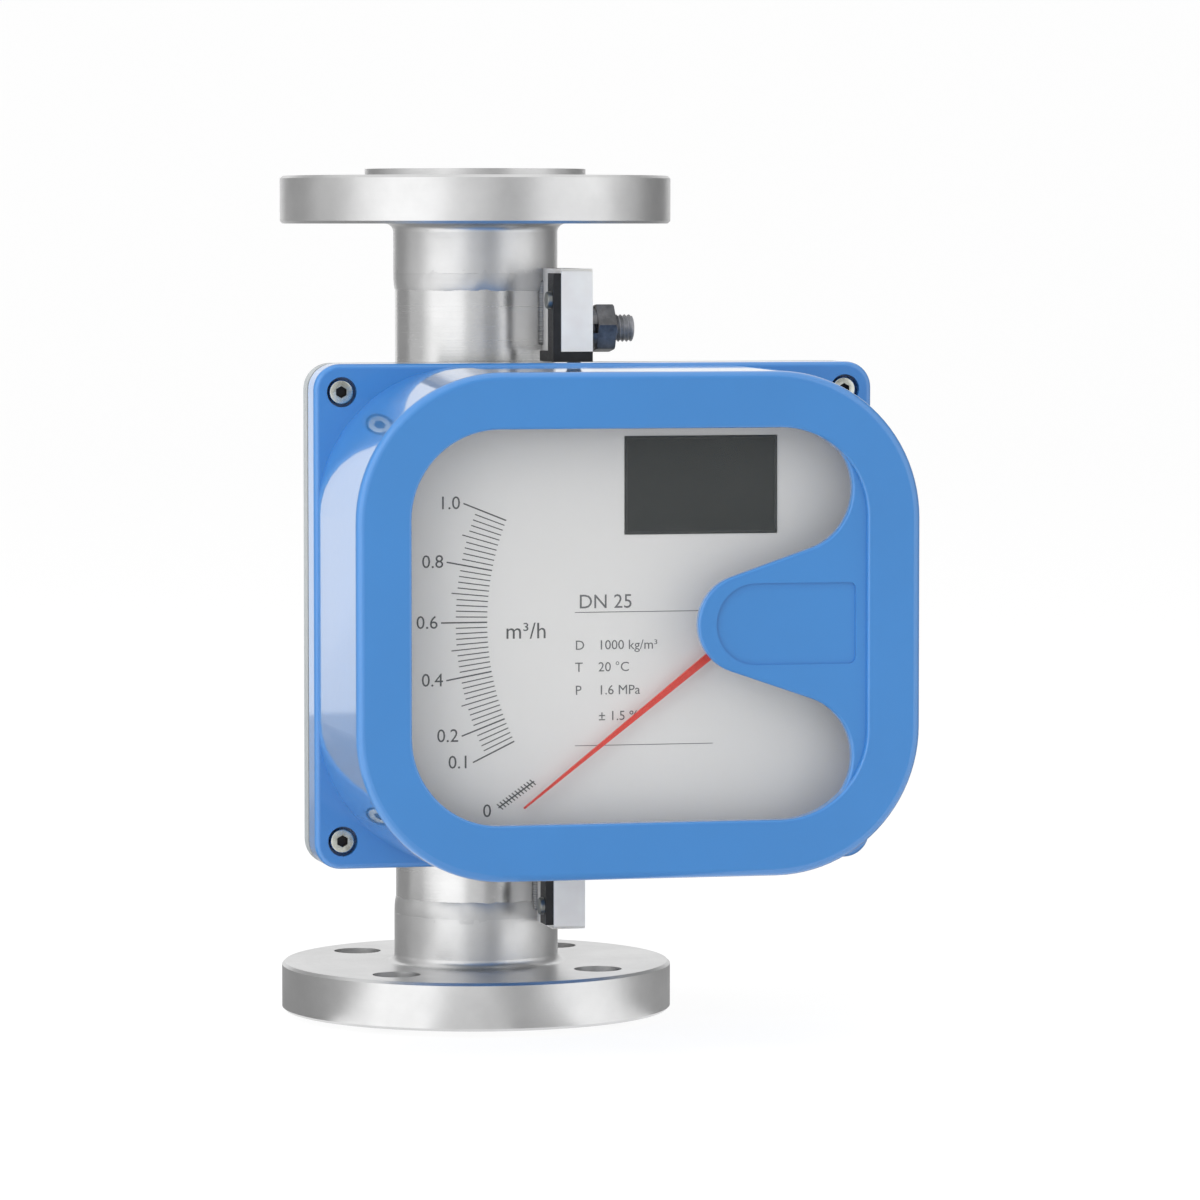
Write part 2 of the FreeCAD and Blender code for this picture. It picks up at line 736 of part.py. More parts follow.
def glass_clips():
    """Four flat clips that hold the glass to the cover's bosses."""
    clips = []
    half = clip_w / 2
    for x, z in clip_places():
        inward = 1 if x < housing_x else -1
        edge = window_left - glass_lap if inward > 0 else window_right + glass_lap
        clip = block(x - inward * clip_foot, edge + inward * clip_lap, glass_back, glass_back + clip_t,
                     z - half, z + half)
        clips.append(clip.cut(rod_y(clip_screw_d / 2, glass_back + clip_t, glass_back, x, z)))
    return Part.makeCompound(clips)


def headed_screw(x, z, seat_y, stem_r, bite, head_r, head_t, facing):
    """Round-headed screw along Y; facing is -1 when the head faces the reader."""
    head = Part.makeCylinder(head_r, head_t, V(x, seat_y, z), V(0, facing, 0))
    rim = edges_where(head, lambda p: abs(p.y - (seat_y + facing * head_t)) < eps)
    head = head.makeFillet(head_t * head_round, rim)
    stem = Part.makeCylinder(stem_r, bite, V(x, seat_y, z), V(0, -facing, 0))
    return head.fuse(stem).removeSplitter()


def clip_screws():
    seat = glass_back + clip_t
    return Part.makeCompound([
        headed_screw(x, z, seat, clip_screw_d / 2, clip_bite + clip_t, clip_head_d / 2, clip_head_t, 1)
        for x, z in clip_places()
    ])


# ---------------------------------------------------------------- dial and display
def dial_plate():
    """Dial with the display's cut-out, the shaft hole and four screw holes."""
    margin = 2 * (dial_margin + body_draft)
    body = slab(rounded_rect(housing_x, housing_z, cavity_w - margin, cavity_h - margin,
                             cavity_r - margin / 2, dial_back), dial_t)
    half_w, half_h = display_w / 2 + display_play, display_h / 2 + display_play
    cuts = [block(display_x - half_w, display_x + half_w, dial_back, dial_front,
                  display_z - half_h, display_z + half_h),
            rod_y(shaft_d / 2 + dial_hole_play, dial_back, dial_front, pivot_x, pivot_z)]
    cuts += [rod_y(dial_screw_d / 2, dial_back, dial_front, x, z) for x, z in pillar_places()]
    return body.cut(Part.makeCompound(cuts))


def dial_pillars():
    foot = base_floor - pillar_boss_t
    pillars = []
    for x, z in pillar_places():
        pillar = rod_y(pillar_d / 2, foot, dial_back, x, z)
        pillars.append(pillar.cut(rod_y(dial_screw_d / 2, dial_back + dial_bite, dial_back, x, z)))
    return Part.makeCompound(pillars)


def dial_screws():
    return Part.makeCompound([
        headed_screw(x, z, dial_front, dial_screw_d / 2, dial_bite + dial_t, dial_head_d / 2,
                     dial_head_t, -1)
        for x, z in pillar_places()
    ])


def display_glass():
    """Black display pane, flush in the dial."""
    half_w, half_h = display_w / 2, display_h / 2
    return block(display_x - half_w, display_x + half_w, dial_back, dial_front,
                 display_z - half_h, display_z + half_h)


def display_module():
    """Moulded carrier behind the pane, with a stepped back for its contacts."""
    half_w, half_h = display_w / 2 + module_border, display_h / 2 + module_border
    body = block(display_x - half_w, display_x + half_w, dial_back, dial_back + module_t,
                 display_z - half_h, display_z + half_h)
    contacts = block(display_x - half_w + module_border, display_x + half_w - module_border,
                     dial_back + module_t, board_front,
                     display_z + half_h - 2 * module_border, display_z + half_h)
    return body.fuse(contacts).removeSplitter()


def spacer_places():
    left, right = board_left + spacer_inset, board_right - spacer_inset
    low, high = board_bottom + spacer_inset, board_top - spacer_inset
    return [(x, z) for x in (left, right) for z in (low, high)]


def board_spacers():
    return Part.makeCompound([
        hexagon(spacer_af, V(x, board_front, z), V(0, -1, 0), board_gap) for x, z in spacer_places()
    ])


def circuit_board():
    outline = rounded_rect((board_left + board_right) / 2, (board_bottom + board_top) / 2,
                           board_right - board_left, board_top - board_bottom, board_r, board_back)
    return slab(outline, board_t)


def cell_axis():
    """Y and Z of the battery's axis."""
    return board_back + cell_lift + cell_d / 2, (board_bottom + board_top) / 2


def battery():
    """Cylindrical cell with a raised positive end."""
    y, z = cell_axis()
    x0 = board_left + cell_inset
    x1 = x0 + cell_len
    can = rod_x(cell_d / 2, x0, x1 - cell_nub_t, y, z)
    return can.fuse(rod_x(cell_nub_d / 2, x1 - cell_nub_t, x1, y, z)).removeSplitter()


def battery_clips():
    """Two spring saddles that stand on the board and embrace the cell."""
    y, z = cell_axis()
    near = board_left + cell_inset + cell_clip_inset
    far = board_left + cell_inset + cell_len - cell_clip_inset
    clips = []
    for x in (near, far):
        x0, x1 = x - cell_clip_w / 2, x + cell_clip_w / 2
        saddle = rod_x(cell_d / 2 + cell_clip_t, x0, x1, y, z)
        saddle = saddle.fuse(block(x0, x1, board_back, y, z - cell_clip_foot, z + cell_clip_foot))
        mouth = block(x0, x1, y + cell_clip_open, y + cell_d, z - cell_d, z + cell_d)
        clips.append(saddle.cut(rod_x(cell_d / 2, x0, x1, y, z)).cut(mouth).removeSplitter())
    return Part.makeCompound(clips)


# ---------------------------------------------------------------- movement
def turned_about_pivot(shape, deg):
    """Turn a piece drawn towards -X, positive downwards."""
    shape.rotate(V(pivot_x, 0, pivot_z), V(0, 1, 0), -deg)
    return shape


def movement_frame():
    """Sheet frame, open at both sides, that carries both bearings and the brake magnet."""
    half_w, half_h = frame_w / 2, frame_h / 2
    x0, x1, z0, z1 = pivot_x - half_w, pivot_x + half_w, pivot_z - half_h, pivot_z + half_h
    outer = block(x0, x1, frame_rear, frame_front, z0, z1)
    inner = block(x0, x1, frame_rear - frame_t, frame_front + frame_t, z0 + frame_t, z1 - frame_t)
    body = outer.cut(inner)
    tab = block(x1 - frame_t, brake_right(), frame_rear, frame_rear - frame_t,
                pivot_z - brake_h / 2, pivot_z + brake_h / 2)
    body = body.fuse(tab).removeSplitter()
    cuts = [rod_y(bearing_d / 2, frame_rear, frame_rear - frame_t, pivot_x, pivot_z),
            rod_y(bearing_d / 2, frame_front + frame_t, frame_front, pivot_x, pivot_z)]
    cuts += [rod_y(frame_screw_d / 2, frame_rear, frame_rear - frame_t, x, z)
             for x, z in frame_post_places()]
    return body.cut(Part.makeCompound(cuts))


def frame_posts():
    posts = []
    for x, z in frame_post_places():
        post = rod_y(frame_post_d / 2, base_floor, frame_rear, x, z)
        posts.append(post.cut(rod_y(frame_screw_d / 2, frame_rear + frame_back / 2, frame_rear, x, z)))
    return Part.makeCompound(posts)


def frame_screws():
    seat = frame_rear - frame_t
    return Part.makeCompound([
        headed_screw(x, z, seat, frame_screw_d / 2, frame_t + frame_back / 2, frame_head_d / 2,
                     frame_head_t, -1)
        for x, z in frame_post_places()
    ])


def bearing(plate_back, rim_side):
    """Flanged bush in a frame plate; rim_side -1 puts its rim towards the reader."""
    plate_front = plate_back - frame_t
    rim_seat = plate_front if rim_side < 0 else plate_back
    body = rod_y(bearing_d / 2, plate_back, plate_front, pivot_x, pivot_z)
    rim = Part.makeCylinder(bearing_rim_d / 2, bearing_rim_t, V(pivot_x, rim_seat, pivot_z),
                            V(0, rim_side, 0))
    bush = body.fuse(rim).removeSplitter()
    return bush.cut(rod_y(shaft_d / 2 + shaft_fit, plate_back + past, plate_front - past, pivot_x, pivot_z))


def pointer_shaft():
    """Steel arbor from the follower arm to the pointer's hub."""
    back = base_floor - shaft_back
    front = pointer_y - pointer_hub_t / 2
    shaft = rod_y(shaft_d / 2, back, front, pivot_x, pivot_z)
    return shaft.makeChamfer(shaft_d / 8, edges_where(shaft, lambda p: abs(p.y - back) < eps))


def follower_arm():
    """Flat lever with a hub, an eye for the follower magnet and a tail for the counterweight."""
    y0, y1 = arm_y, arm_y - arm_t
    eye_r = follower_d / 2 + follower_rim
    tail_x = pivot_x + counter_r
    body = block(pivot_x - arm_len, tail_x, y0, y1, pivot_z - arm_w / 2, pivot_z + arm_w / 2)
    eye = rod_y(eye_r, y0, y1, pivot_x - arm_len, pivot_z)
    hub_back = arm_y + arm_hub_back
    hub = rod_y(arm_hub_d / 2, hub_back, hub_back - arm_hub_t, pivot_x, pivot_z)
    pad = rod_y(arm_pad_d / 2, y0, y1, tail_x, pivot_z)
    body = body.fuse([eye, hub, pad]).removeSplitter()
    body = body.cut(rod_y(follower_d / 2, y0 + past, y1 - past, pivot_x - arm_len, pivot_z))
    body = body.cut(rod_y(shaft_d / 2, hub_back + past, hub_back - arm_hub_t - past, pivot_x, pivot_z))
    return turned_about_pivot(body, sweep_deg / 2)


def follower_magnet():
    """Disc magnet in the arm's eye, level with the float's magnet."""
    middle = arm_y - arm_t / 2
    disc = rod_y(follower_d / 2, middle + follower_t / 2, middle - follower_t / 2, pivot_x - arm_len,
                 pivot_z)
    return turned_about_pivot(disc, sweep_deg / 2)


def counterweight():
    """Brass slug on the arm's tail."""
    seat = arm_y - arm_t
    disc = rod_y(counter_d / 2, seat, seat - counter_t, pivot_x + counter_r, pivot_z)
    return turned_about_pivot(disc, sweep_deg / 2)


def damping_disc():
    """Aluminium disc with a hub; it turns in the brake magnet's slot."""
    disc = rod_y(disc_d / 2, disc_y, disc_y - disc_t, pivot_x, pivot_z)
    hub_back = disc_y + (disc_hub_t - disc_t) / 2
    hub = rod_y(disc_hub_d / 2, hub_back, hub_back - disc_hub_t, pivot_x, pivot_z)
    holes = []
    for i in range(disc_holes):
        a = 2 * math.pi * (i + 0.5) / disc_holes
        holes.append(rod_y(disc_hole_d / 2, disc_y, disc_y - disc_t,
                           pivot_x + disc_hole_r * math.cos(a), pivot_z + disc_hole_r * math.sin(a)))
    body = disc.cut(Part.makeCompound(holes)).fuse(hub).removeSplitter()
    return body.cut(rod_y(shaft_d / 2, hub_back + past, hub_back - disc_hub_t - past, pivot_x, pivot_z))


def brake_right():
    return pivot_x + disc_d / 2 - brake_lap + brake_w


def brake_magnet():
    """C-shaped magnet on the frame's tab; the disc's edge runs in its slot."""
    x0, x1 = brake_right() - brake_w, brake_right()
    middle = disc_y - disc_t / 2
    half_depth = frame_rear - frame_t - middle
    body = block(x0, x1, middle + half_depth, middle - half_depth,
                 pivot_z - brake_h / 2, pivot_z + brake_h / 2)
    slot = block(x0 - past, pivot_x + disc_d / 2 + brake_gap,
                 middle + brake_slot / 2, middle - brake_slot / 2,
                 pivot_z - brake_h, pivot_z + brake_h)
    return body.cut(slot)


def pointer():
    """Tapered needle with a short tail and a domed hub, at the float's rest position."""
    root, tip = pointer_root_w / 2, pointer_tip_w / 2
    y = pointer_y + pointer_t / 2
    x_tip, x_tail = pivot_x - pointer_len, pivot_x + pointer_tail
    outline = [V(x_tip, y, pivot_z - tip), V(pivot_x, y, pivot_z - root), V(x_tail, y, pivot_z - root),
               V(x_tail, y, pivot_z + root), V(pivot_x, y, pivot_z + root), V(x_tip, y, pivot_z + tip)]
    needle = Part.Face(Part.makePolygon(outline + [outline[0]])).extrude(V(0, -pointer_t, 0))
    back, front = pointer_y + pointer_hub_t / 2, pointer_y - pointer_hub_t / 2
    hub = rod_y(pointer_hub_d / 2, back, front, pivot_x, pivot_z)
    hub = hub.makeFillet(pointer_dome, edges_where(hub, lambda p: abs(p.y - front) < eps))
    body = needle.fuse(hub).removeSplitter()
    body = body.cut(rod_y(shaft_d / 2, back + past, front, pivot_x, pivot_z))
    return turned_about_pivot(body, rest_deg)


# ---------------------------------------------------------------- brackets
def feet():
    """Each bracket: lug's inner face, wall that the foot stands on, way off that wall, lug's height."""
    return [(lug_left, housing_top, 1, upper_lug_h),
            (lower_lug_left, housing_bottom, -1, lower_lug_h)]


def lug(x_lug, z_wall, away, height):
    """Block welded to the tube's side: coped to the tube, chamfered at its free end."""
    foot_top = z_wall + away * foot_t
    end_z = foot_top + away * height
    body = block(x_lug, x_lug + lug_w, base_front, lug_back, foot_top, end_z)
    front_edge = edges_where(body, lambda p: abs(p.y - base_front) < eps and abs(p.z - end_z) < eps)
    body = body.makeChamfer(lug_corner, front_edge)
    necks = [rod_z(neck_d / 2, 0, seam_low), rod_z(neck_d / 2, seam_high, face_to_face)]
    body = body.cut([rod_z(tube_d / 2, min(foot_top, end_z) - past, max(foot_top, end_z) + past)] + necks)
    y, z = leg_screw_place(z_wall, away, height)
    return body.cut(rod_x(leg_screw_d / 2, x_lug - past, x_lug - leg_t + leg_screw_len, y, z))


def leg_screw_place(z_wall, away, height):
    """Y and Z of the screw that holds a leg to its lug."""
    return base_front + leg_depth / 2, z_wall + away * (foot_t + leg_screw_share * height)


def upper_lug():
    """Upper lug with a blind hole for the stud."""
    hole = rod_x(stud_d / 2, lug_left + stud_floor, lug_right + past, stud_y, stud_height())
    return lug(*feet()[0]).cut(hole)


def lower_lug():
    return lug(*feet()[1])


def stud_height():
    return housing_top + foot_t + stud_rise


def angle(x_lug, z_wall, away, height):
    """Black steel angle: a wide foot on the housing's wall, a narrow leg beside the lug."""
    x0, x1 = x_lug - leg_t, x_lug + lug_w
    foot = block(x0, x1, base_front, base_front + foot_depth, z_wall, z_wall + away * foot_t)
    leg = block(x0, x_lug, base_front, base_front + leg_depth,
                z_wall, z_wall + away * (foot_t + height - leg_short))
    body = foot.fuse(leg).removeSplitter()
    stem = rod_z(foot_screw_d / 2, z_wall - 2 * foot_t, z_wall + 2 * foot_t,
                 x_lug + foot_screw_out, foot_screw_y)
    y, z = leg_screw_place(z_wall, away, height)
    side_hole = rod_x(leg_screw_d / 2, x0 - past, x_lug + past, y, z)
    return body.cut([stem, screw_cone(x_lug, z_wall, away), side_hole])


def screw_cone(x_lug, z_wall, away):
    """Countersink that both the foot and its screw share."""
    top = z_wall + away * foot_t
    return Part.makeCone(foot_screw_d / 2, foot_head_d / 2, foot_head_t,
                         V(x_lug + foot_screw_out, foot_screw_y, top - away * foot_head_t), V(0, 0, away))


def foot_screws():
    """Two countersunk screws, one through each foot into the base's pads."""
    screws = []
    for x_lug, z_wall, away, height in feet():
        top = V(x_lug + foot_screw_out, foot_screw_y, z_wall + away * foot_t)
        stem = Part.makeCylinder(foot_screw_d / 2, foot_screw_len, top, V(0, 0, -away))
        screws.append(stem.fuse(screw_cone(x_lug, z_wall, away)).removeSplitter())
    return Part.makeCompound(screws)


def leg_screws():
    """Two round-headed screws, one through each leg into its lug."""
    screws = []
    for x_lug, z_wall, away, height in feet():
        y, z = leg_screw_place(z_wall, away, height)
        x0 = x_lug - leg_t
        head = rod_x(leg_head_d / 2, x0 - leg_head_t, x0, y, z)
        outer = edges_where(head, lambda p: p.x < x0 - leg_head_t + eps)
        head = head.makeFillet(leg_head_t * head_round, outer)
        shank = rod_x(leg_screw_d / 2, x0 - eps, x0 + leg_screw_len, y, z)
        screws.append(head.fuse(shank).removeSplitter())
    return Part.makeCompound(screws)


def clamp_stud():
    """Earth stud pressed in the upper lug; it carries the spring washer and the nut."""
    x1 = lug_right + washer_t + nut_t + stud_past
    stud = rod_x(stud_d / 2, lug_left + stud_floor, x1, stud_y, stud_height())
    return stud.makeChamfer(stud_tip, edges_where(stud, lambda p: abs(p.x - x1) < eps))


def spring_washer():
    """Split washer, its gap towards the reader."""
    z = stud_height()
    ring = rod_x(washer_d / 2, lug_right, lug_right + washer_t, stud_y, z)
    ring = ring.cut(rod_x(stud_d / 2 + washer_play, lug_right, lug_right + washer_t, stud_y, z))
    half = washer_d * math.tan(math.radians(washer_split_deg / 2)) / 2
    return ring.cut(block(lug_right, lug_right + washer_t, stud_y, stud_y - washer_d, z - half, z + half))


def clamp_nut():
    """Hexagon nut with both faces chamfered."""
    x0 = lug_right + washer_t
    z = stud_height()
    nut = hexagon(nut_af, V(x0, stud_y, z), V(1, 0, 0), nut_t)
    nut.rotate(V(x0, stud_y, z), V(1, 0, 0), nut_turn_deg)
    corner = nut_af / math.sqrt(3)
    bevel = nut_bevel * (corner - nut_af / 2)
    barrel = rod_x(corner, x0, x0 + nut_t, stud_y, z)
    ends = edges_where(barrel, lambda p: abs(p.x - x0 - nut_t / 2) > nut_t / 2 - eps)
    return nut.common(barrel.makeChamfer(bevel, ends)).cut(rod_x(stud_d / 2, x0, x0 + nut_t, stud_y, z))


# ---------------------------------------------------------------- parts
def parts():
    inlet = flange()
    return {
        "inlet_flange": inlet,
        "outlet_flange": mirrored_z(inlet, face_to_face / 2),
        "measuring_tube": measuring_tube(),
        "lower_guide": guide(bore_d / 2, guide_bottom),
        "upper_guide": guide(upper_bore_d / 2, upper_guide_z),
        "lower_ring": retaining_ring(bore_d / 2, guide_bottom - ring_t),
        "upper_ring": retaining_ring(upper_bore_d / 2, upper_guide_z + guide_len),
        "float_body": float_body(),
        "float_cap": float_cap(),
        "float_magnet": float_magnet(),
        "float_rod": float_rod(),
        "housing_base": housing_base(),
        "housing_gasket": housing_gasket(),
        "housing_cover": housing_cover(),
        "cover_screws": cover_screws(),
        "window_gasket": window_gasket(),
        "window_glass": window_glass(),
        "glass_clips": glass_clips(),
        "clip_screws": clip_screws(),
        "dial_plate": dial_plate(),
        "dial_pillars": dial_pillars(),
        "dial_screws": dial_screws(),
        "display_glass": display_glass(),
        "display_module": display_module(),
        "circuit_board": circuit_board(),
        "board_spacers": board_spacers(),
        "battery": battery(),
        "battery_clips": battery_clips(),
        "movement_frame": movement_frame(),
        "frame_posts": frame_posts(),
        "frame_screws": frame_screws(),
        "rear_bearing": bearing(frame_rear, -1),
        "front_bearing": bearing(frame_front + frame_t, 1),
        "pointer_shaft": pointer_shaft(),
        "pointer": pointer(),
        "follower_arm": follower_arm(),
        "follower_magnet": follower_magnet(),
        "counterweight": counterweight(),
        "damping_disc": damping_disc(),
        "brake_magnet": brake_magnet(),
        "upper_lug": upper_lug(),
        "lower_lug": lower_lug(),
        "upper_angle": angle(*feet()[0]),
        "lower_angle": angle(*feet()[1]),
        "foot_screws": foot_screws(),
        "clamp_stud": clamp_stud(),
        "spring_washer": spring_washer(),
        "clamp_nut": clamp_nut(),
        "leg_screws": leg_screws(),
    }


def main():
    os.makedirs("parts", exist_ok=True)
    for name, shape in parts().items():
        shape.exportStep(os.path.join("parts", name + ".step"))
        box = shape.BoundBox
        print("%-16s solids %d  valid %s  volume %.1f  x %.1f..%.1f  y %.1f..%.1f  z %.1f..%.1f" % (
            name, len(shape.Solids), shape.isValid(), shape.Volume,
            box.XMin, box.XMax, box.YMin, box.YMax, box.ZMin, box.ZMax))


main()
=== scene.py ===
"""Rotameter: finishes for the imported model, the dial's print, and the detailed fasteners and welds.

The sizes that a user would change are properties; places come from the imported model.  Metres.
"""
import math

import bmesh
import bpy
from bpy.props import FloatProperty, FloatVectorProperty, IntProperty, PointerProperty
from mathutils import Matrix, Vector


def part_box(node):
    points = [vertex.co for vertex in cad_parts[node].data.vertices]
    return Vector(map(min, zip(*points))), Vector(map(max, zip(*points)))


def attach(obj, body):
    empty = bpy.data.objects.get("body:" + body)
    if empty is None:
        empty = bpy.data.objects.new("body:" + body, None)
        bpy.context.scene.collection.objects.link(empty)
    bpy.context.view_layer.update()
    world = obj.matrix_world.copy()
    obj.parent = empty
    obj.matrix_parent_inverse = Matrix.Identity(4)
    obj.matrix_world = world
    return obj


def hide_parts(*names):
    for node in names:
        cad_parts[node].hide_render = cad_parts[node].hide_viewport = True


bl_info = {
    "name": "Rotameter",
    "version": (1, 0, 0),
    "blender": (4, 5, 0),
    "location": "View3D > Sidebar > Rotameter",
    "description": "Finishes, dial print, fasteners, welds and studio of a metal-tube rotameter",
    "category": "Object",
}

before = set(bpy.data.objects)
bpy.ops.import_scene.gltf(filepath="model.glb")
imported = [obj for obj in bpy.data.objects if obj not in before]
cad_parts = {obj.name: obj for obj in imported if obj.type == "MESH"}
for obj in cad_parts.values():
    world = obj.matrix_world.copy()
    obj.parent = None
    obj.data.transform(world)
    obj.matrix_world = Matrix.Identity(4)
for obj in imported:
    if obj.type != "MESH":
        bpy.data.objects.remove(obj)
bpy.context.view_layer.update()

GLASS_LOW, GLASS_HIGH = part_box("display_glass")
SHAFT_LOW, SHAFT_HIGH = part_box("pointer_shaft")
STUD_LOW, STUD_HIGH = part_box("clamp_stud")
WASHER_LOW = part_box("spring_washer")[0]
TUBE_LOW, TUBE_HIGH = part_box("measuring_tube")
SEAL_LOW, SEAL_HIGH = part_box("window_gasket")

DIAL_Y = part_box("dial_plate")[0].y
PIVOT_X = (SHAFT_LOW.x + SHAFT_HIGH.x) / 2
PIVOT_Z = (SHAFT_LOW.z + SHAFT_HIGH.z) / 2
FACING_READER = math.pi / 2       # turn about X that stands a flat shape up, its face to the reader
ALONG_X = (0.0, math.pi / 2, 0.0)
ALONG_Y = (FACING_READER, 0.0, 0.0)
CARD_LIFT = 0.0006                # reflection cards just clear of the floor
PAINTED_SHADE_DEPTH = 0.0002                # how deep the painted shade on a lug's side reaches
# Painted shade: the side of each lug that faces the tube is given this darker grey.
LUG_SIDE_PAINTED_SHADE = (0.80, 0.79, 0.78)
SAME_PLACE = 1e-5                 # two coordinates this near are one place
DOUBLES = 1e-6                    # vertices this near are merged


def srgb(red, green, blue):
    """Linear colour from 8-bit display values."""
    def linear(value):
        share = value / 255.0
        if share <= 0.04045:
            return share / 12.92
        return ((share + 0.055) / 1.055) ** 2.4
    return (linear(red), linear(green), linear(blue))


def colour(name, description, default):
    return FloatVectorProperty(name=name, description=description, subtype="COLOR", size=3,
                               min=0.0, max=1.0, default=default)


def length(name, description, default):
    return FloatProperty(name=name, description=description, default=default, unit="LENGTH",
                         subtype="DISTANCE", precision=5)


def angle(name, description, default_deg):
    return FloatProperty(name=name, description=description, default=math.radians(default_deg),
                         unit="ROTATION", subtype="ANGLE")


# ---------------------------------------------------------------- settings
class FinishSettings(bpy.types.PropertyGroup):
    enamel: colour("Enamel", "Gloss coat of the cover", srgb(52, 131, 203))
    base_coat: colour("Base coat", "Coat of the rear casting", srgb(172, 178, 180))
    steel: colour("Turned steel", "Flanges and tube", (0.69, 0.69, 0.69))
    lug_steel: colour("Lug steel", "Bright ground lugs", (0.99, 0.945, 0.885))
    dark_steel: colour("Dark steel", "Phosphated nut, stud and spring washer", srgb(72, 72, 73))
    # This colour also serves as painted shade inside the cover screws' sockets.
    black_oxide: colour("Black oxide", "Angles between lugs and housing", srgb(31, 31, 32))
    dial: colour("Dial", "Satin silver of the dial plate", srgb(232, 231, 230))
    ink: colour("Ink", "Print on the dial", srgb(84, 84, 86))
    pointer: colour("Pointer", "Lacquer of the pointer", srgb(222, 50, 34))
    line_pitch: length("Turning pitch", "Spacing of the tool lines on turned steel", 0.00035)
    peel: length("Orange peel", "Size of the ripples in the enamel", 0.0030)


# Print on the dial: its places are counted from the pointer's axis or from the rules' left end.
UNIT_AT = (-0.06555, -0.0028)
ZERO_AT = (-0.0768, -0.0532)
UPPER_RULE_LONG, LOWER_RULE_LONG = 0.0362, 0.0400
TITLE_AT, TITLE_SIZE = (0.0010, 0.0052), 0.0056
VALUES_IN = 0.0067
RULE_SHARE = 0.6                  # width of a rule as a share of a tick's
HATCH_SHARE, HATCH_LONG = 1.1, 2.2  # of a tick's width and of the hatch's pitch
HATCH_TURN = math.radians(40.0)
SURROUND_EDGE, SURROUND_PROUD, SURROUND_BEVEL = 0.0007, 0.0004, 0.00012
DATA_ROWS = (
    # height, sign, value
    (-0.0070, "D", "1000 kg/m³"),
    (-0.0132, "T", "20 °C"),
    (-0.0197, "P", "1.6 MPa"),
    (-0.0270, "", "± 1.5 %"),
)


class DialSettings(bpy.types.PropertyGroup):
    ink_height: length("Ink height", "Thickness of the print", 0.00005)
    stroke: length("Stroke", "Width of a tick", 0.00030)
    bold_stroke: length("Bold stroke", "Width of a numbered tick", 0.00040)
    inner_radius: length("Inner radius", "Inner end of every tick, from the pointer's axis", 0.0767)
    short_tick: length("Short tick", "Length of a tick for 0.02", 0.0090)
    middle_tick: length("Middle tick", "Length of a tick for 0.1", 0.0106)
    long_tick: length("Long tick", "Length of a numbered tick", 0.0132)
    number_gap: length("Number gap", "From a number to the end of its tick", 0.0008)
    number_size: length("Number size", "Type size of the numbers", 0.0052)
    unit_size: length("Unit size", "Type size of the unit", 0.0064)
    data_size: length("Data size", "Type size of the data lines", 0.0038)
    turn_above: angle("Turn above level", "Pointer's turn for one unit of flow above the level value", 54.5)
    turn_below: angle("Turn below level", "Pointer's turn for one unit of flow below the level value", 51.9)
    level_value: FloatProperty(name="Level value", description="Flow at which the pointer is level",
                               default=0.6)
    rest_turn: angle("Rest turn", "Rest mark below the horizontal", 35.4)
    rest_inner: length("Rest mark from", "Inner end of the rest mark", 0.0776)
    rest_outer: length("Rest mark to", "Outer end of the rest mark", 0.0902)
    rest_strokes: IntProperty(name="Rest strokes", description="Slanted strokes of the rest mark", default=12)
    rule_left: length("Rules from", "Left end of both rules, from the pointer's axis", -0.0515)
    rule_upper: length("Upper rule", "Height of the upper rule above the pointer's axis", 0.0024)
    rule_lower: length("Lower rule", "Height of the lower rule above the pointer's axis", -0.0352)


# Cover screw, the ripples of a weld run as shares of its radius, and the waves of a ground seam.
HEAD_RADIUS, HEAD_HEIGHT, STEM_RADIUS = 0.0035, 0.0040, 0.0020
SOCKET_RADIUS, SOCKET_DEPTH, SOCKET_MARGIN = 0.00175, 0.0022, 0.00005
RIPPLE_FLAT, RIPPLE_SMALL = 0.62, 0.94
SEAM_WAVE, SEAM_WAVE_HEIGHT = 0.004, 0.0003


class BracketSettings(bpy.types.PropertyGroup):
    pitch: length("Thread pitch", "Pitch of the stud's thread", 0.00125)
    thread_depth: length("Thread depth", "Radial depth of the thread", 0.00062)
    tip_bevel: length("Tip bevel", "Bevel at the stud's end", 0.0008)
    weld_radius: length("Weld radius", "Radius of a weld ripple", 0.0016)
    weld_step: length("Weld step", "Distance between two weld ripples", 0.0007)
    seam_width: length("Seam width", "Width of the ground seam between neck and tube", 0.0090)
    seam_height: length("Seam height", "How far the ground seam stands above the tube", 0.0005)
    head_bevel: length("Head bevel", "Bevel on a cover screw's head", 0.0005)
    seal_width: length("Seal width", "Width of the window's seal", 0.0044)
    seal_corner: length("Seal corner", "Radius of the seal's outer corners", 0.0290)
    lobe_corner: length("Lobe corner", "Radius of the seal's inner corners on the right", 0.0182)


class StudioSettings(bpy.types.PropertyGroup):
    distance: length("Camera distance", "Camera from the tube's axis, seen from above", 1.80)
    azimuth: angle("Camera azimuth", "Camera to the left of the dial's front", 12.0)
    height: length("Camera height", "Camera above the lower flange's face", 0.2336)
    heading: angle("Heading", "Line of sight to the right of straight ahead", 13.17)
    tilt: angle("Tilt", "Line of sight below the horizontal", 3.52)
    lens: FloatProperty(name="Lens", description="Focal length in millimetres", default=182.94)
    room_light: FloatProperty(name="Room light", description="Even light from all round", default=0.60)
    floor_depth: length("Floor", "Half the floor's size", 6.0)


# ---------------------------------------------------------------- node helpers
def new_material(name, base, metallic=0.0, roughness=0.5):
    """Material with a Principled shader whose even values stand on its own sockets."""
    material = bpy.data.materials.new(name)
    material.use_nodes = True
    shader = material.node_tree.nodes["Principled BSDF"]
    shader.inputs["Base Color"].default_value = (*base, 1.0)
    shader.inputs["Metallic"].default_value = metallic
    shader.inputs["Roughness"].default_value = roughness
    material.diffuse_color = (*base, 1.0)
    return material


def principled(material):
    return material.node_tree.nodes["Principled BSDF"]


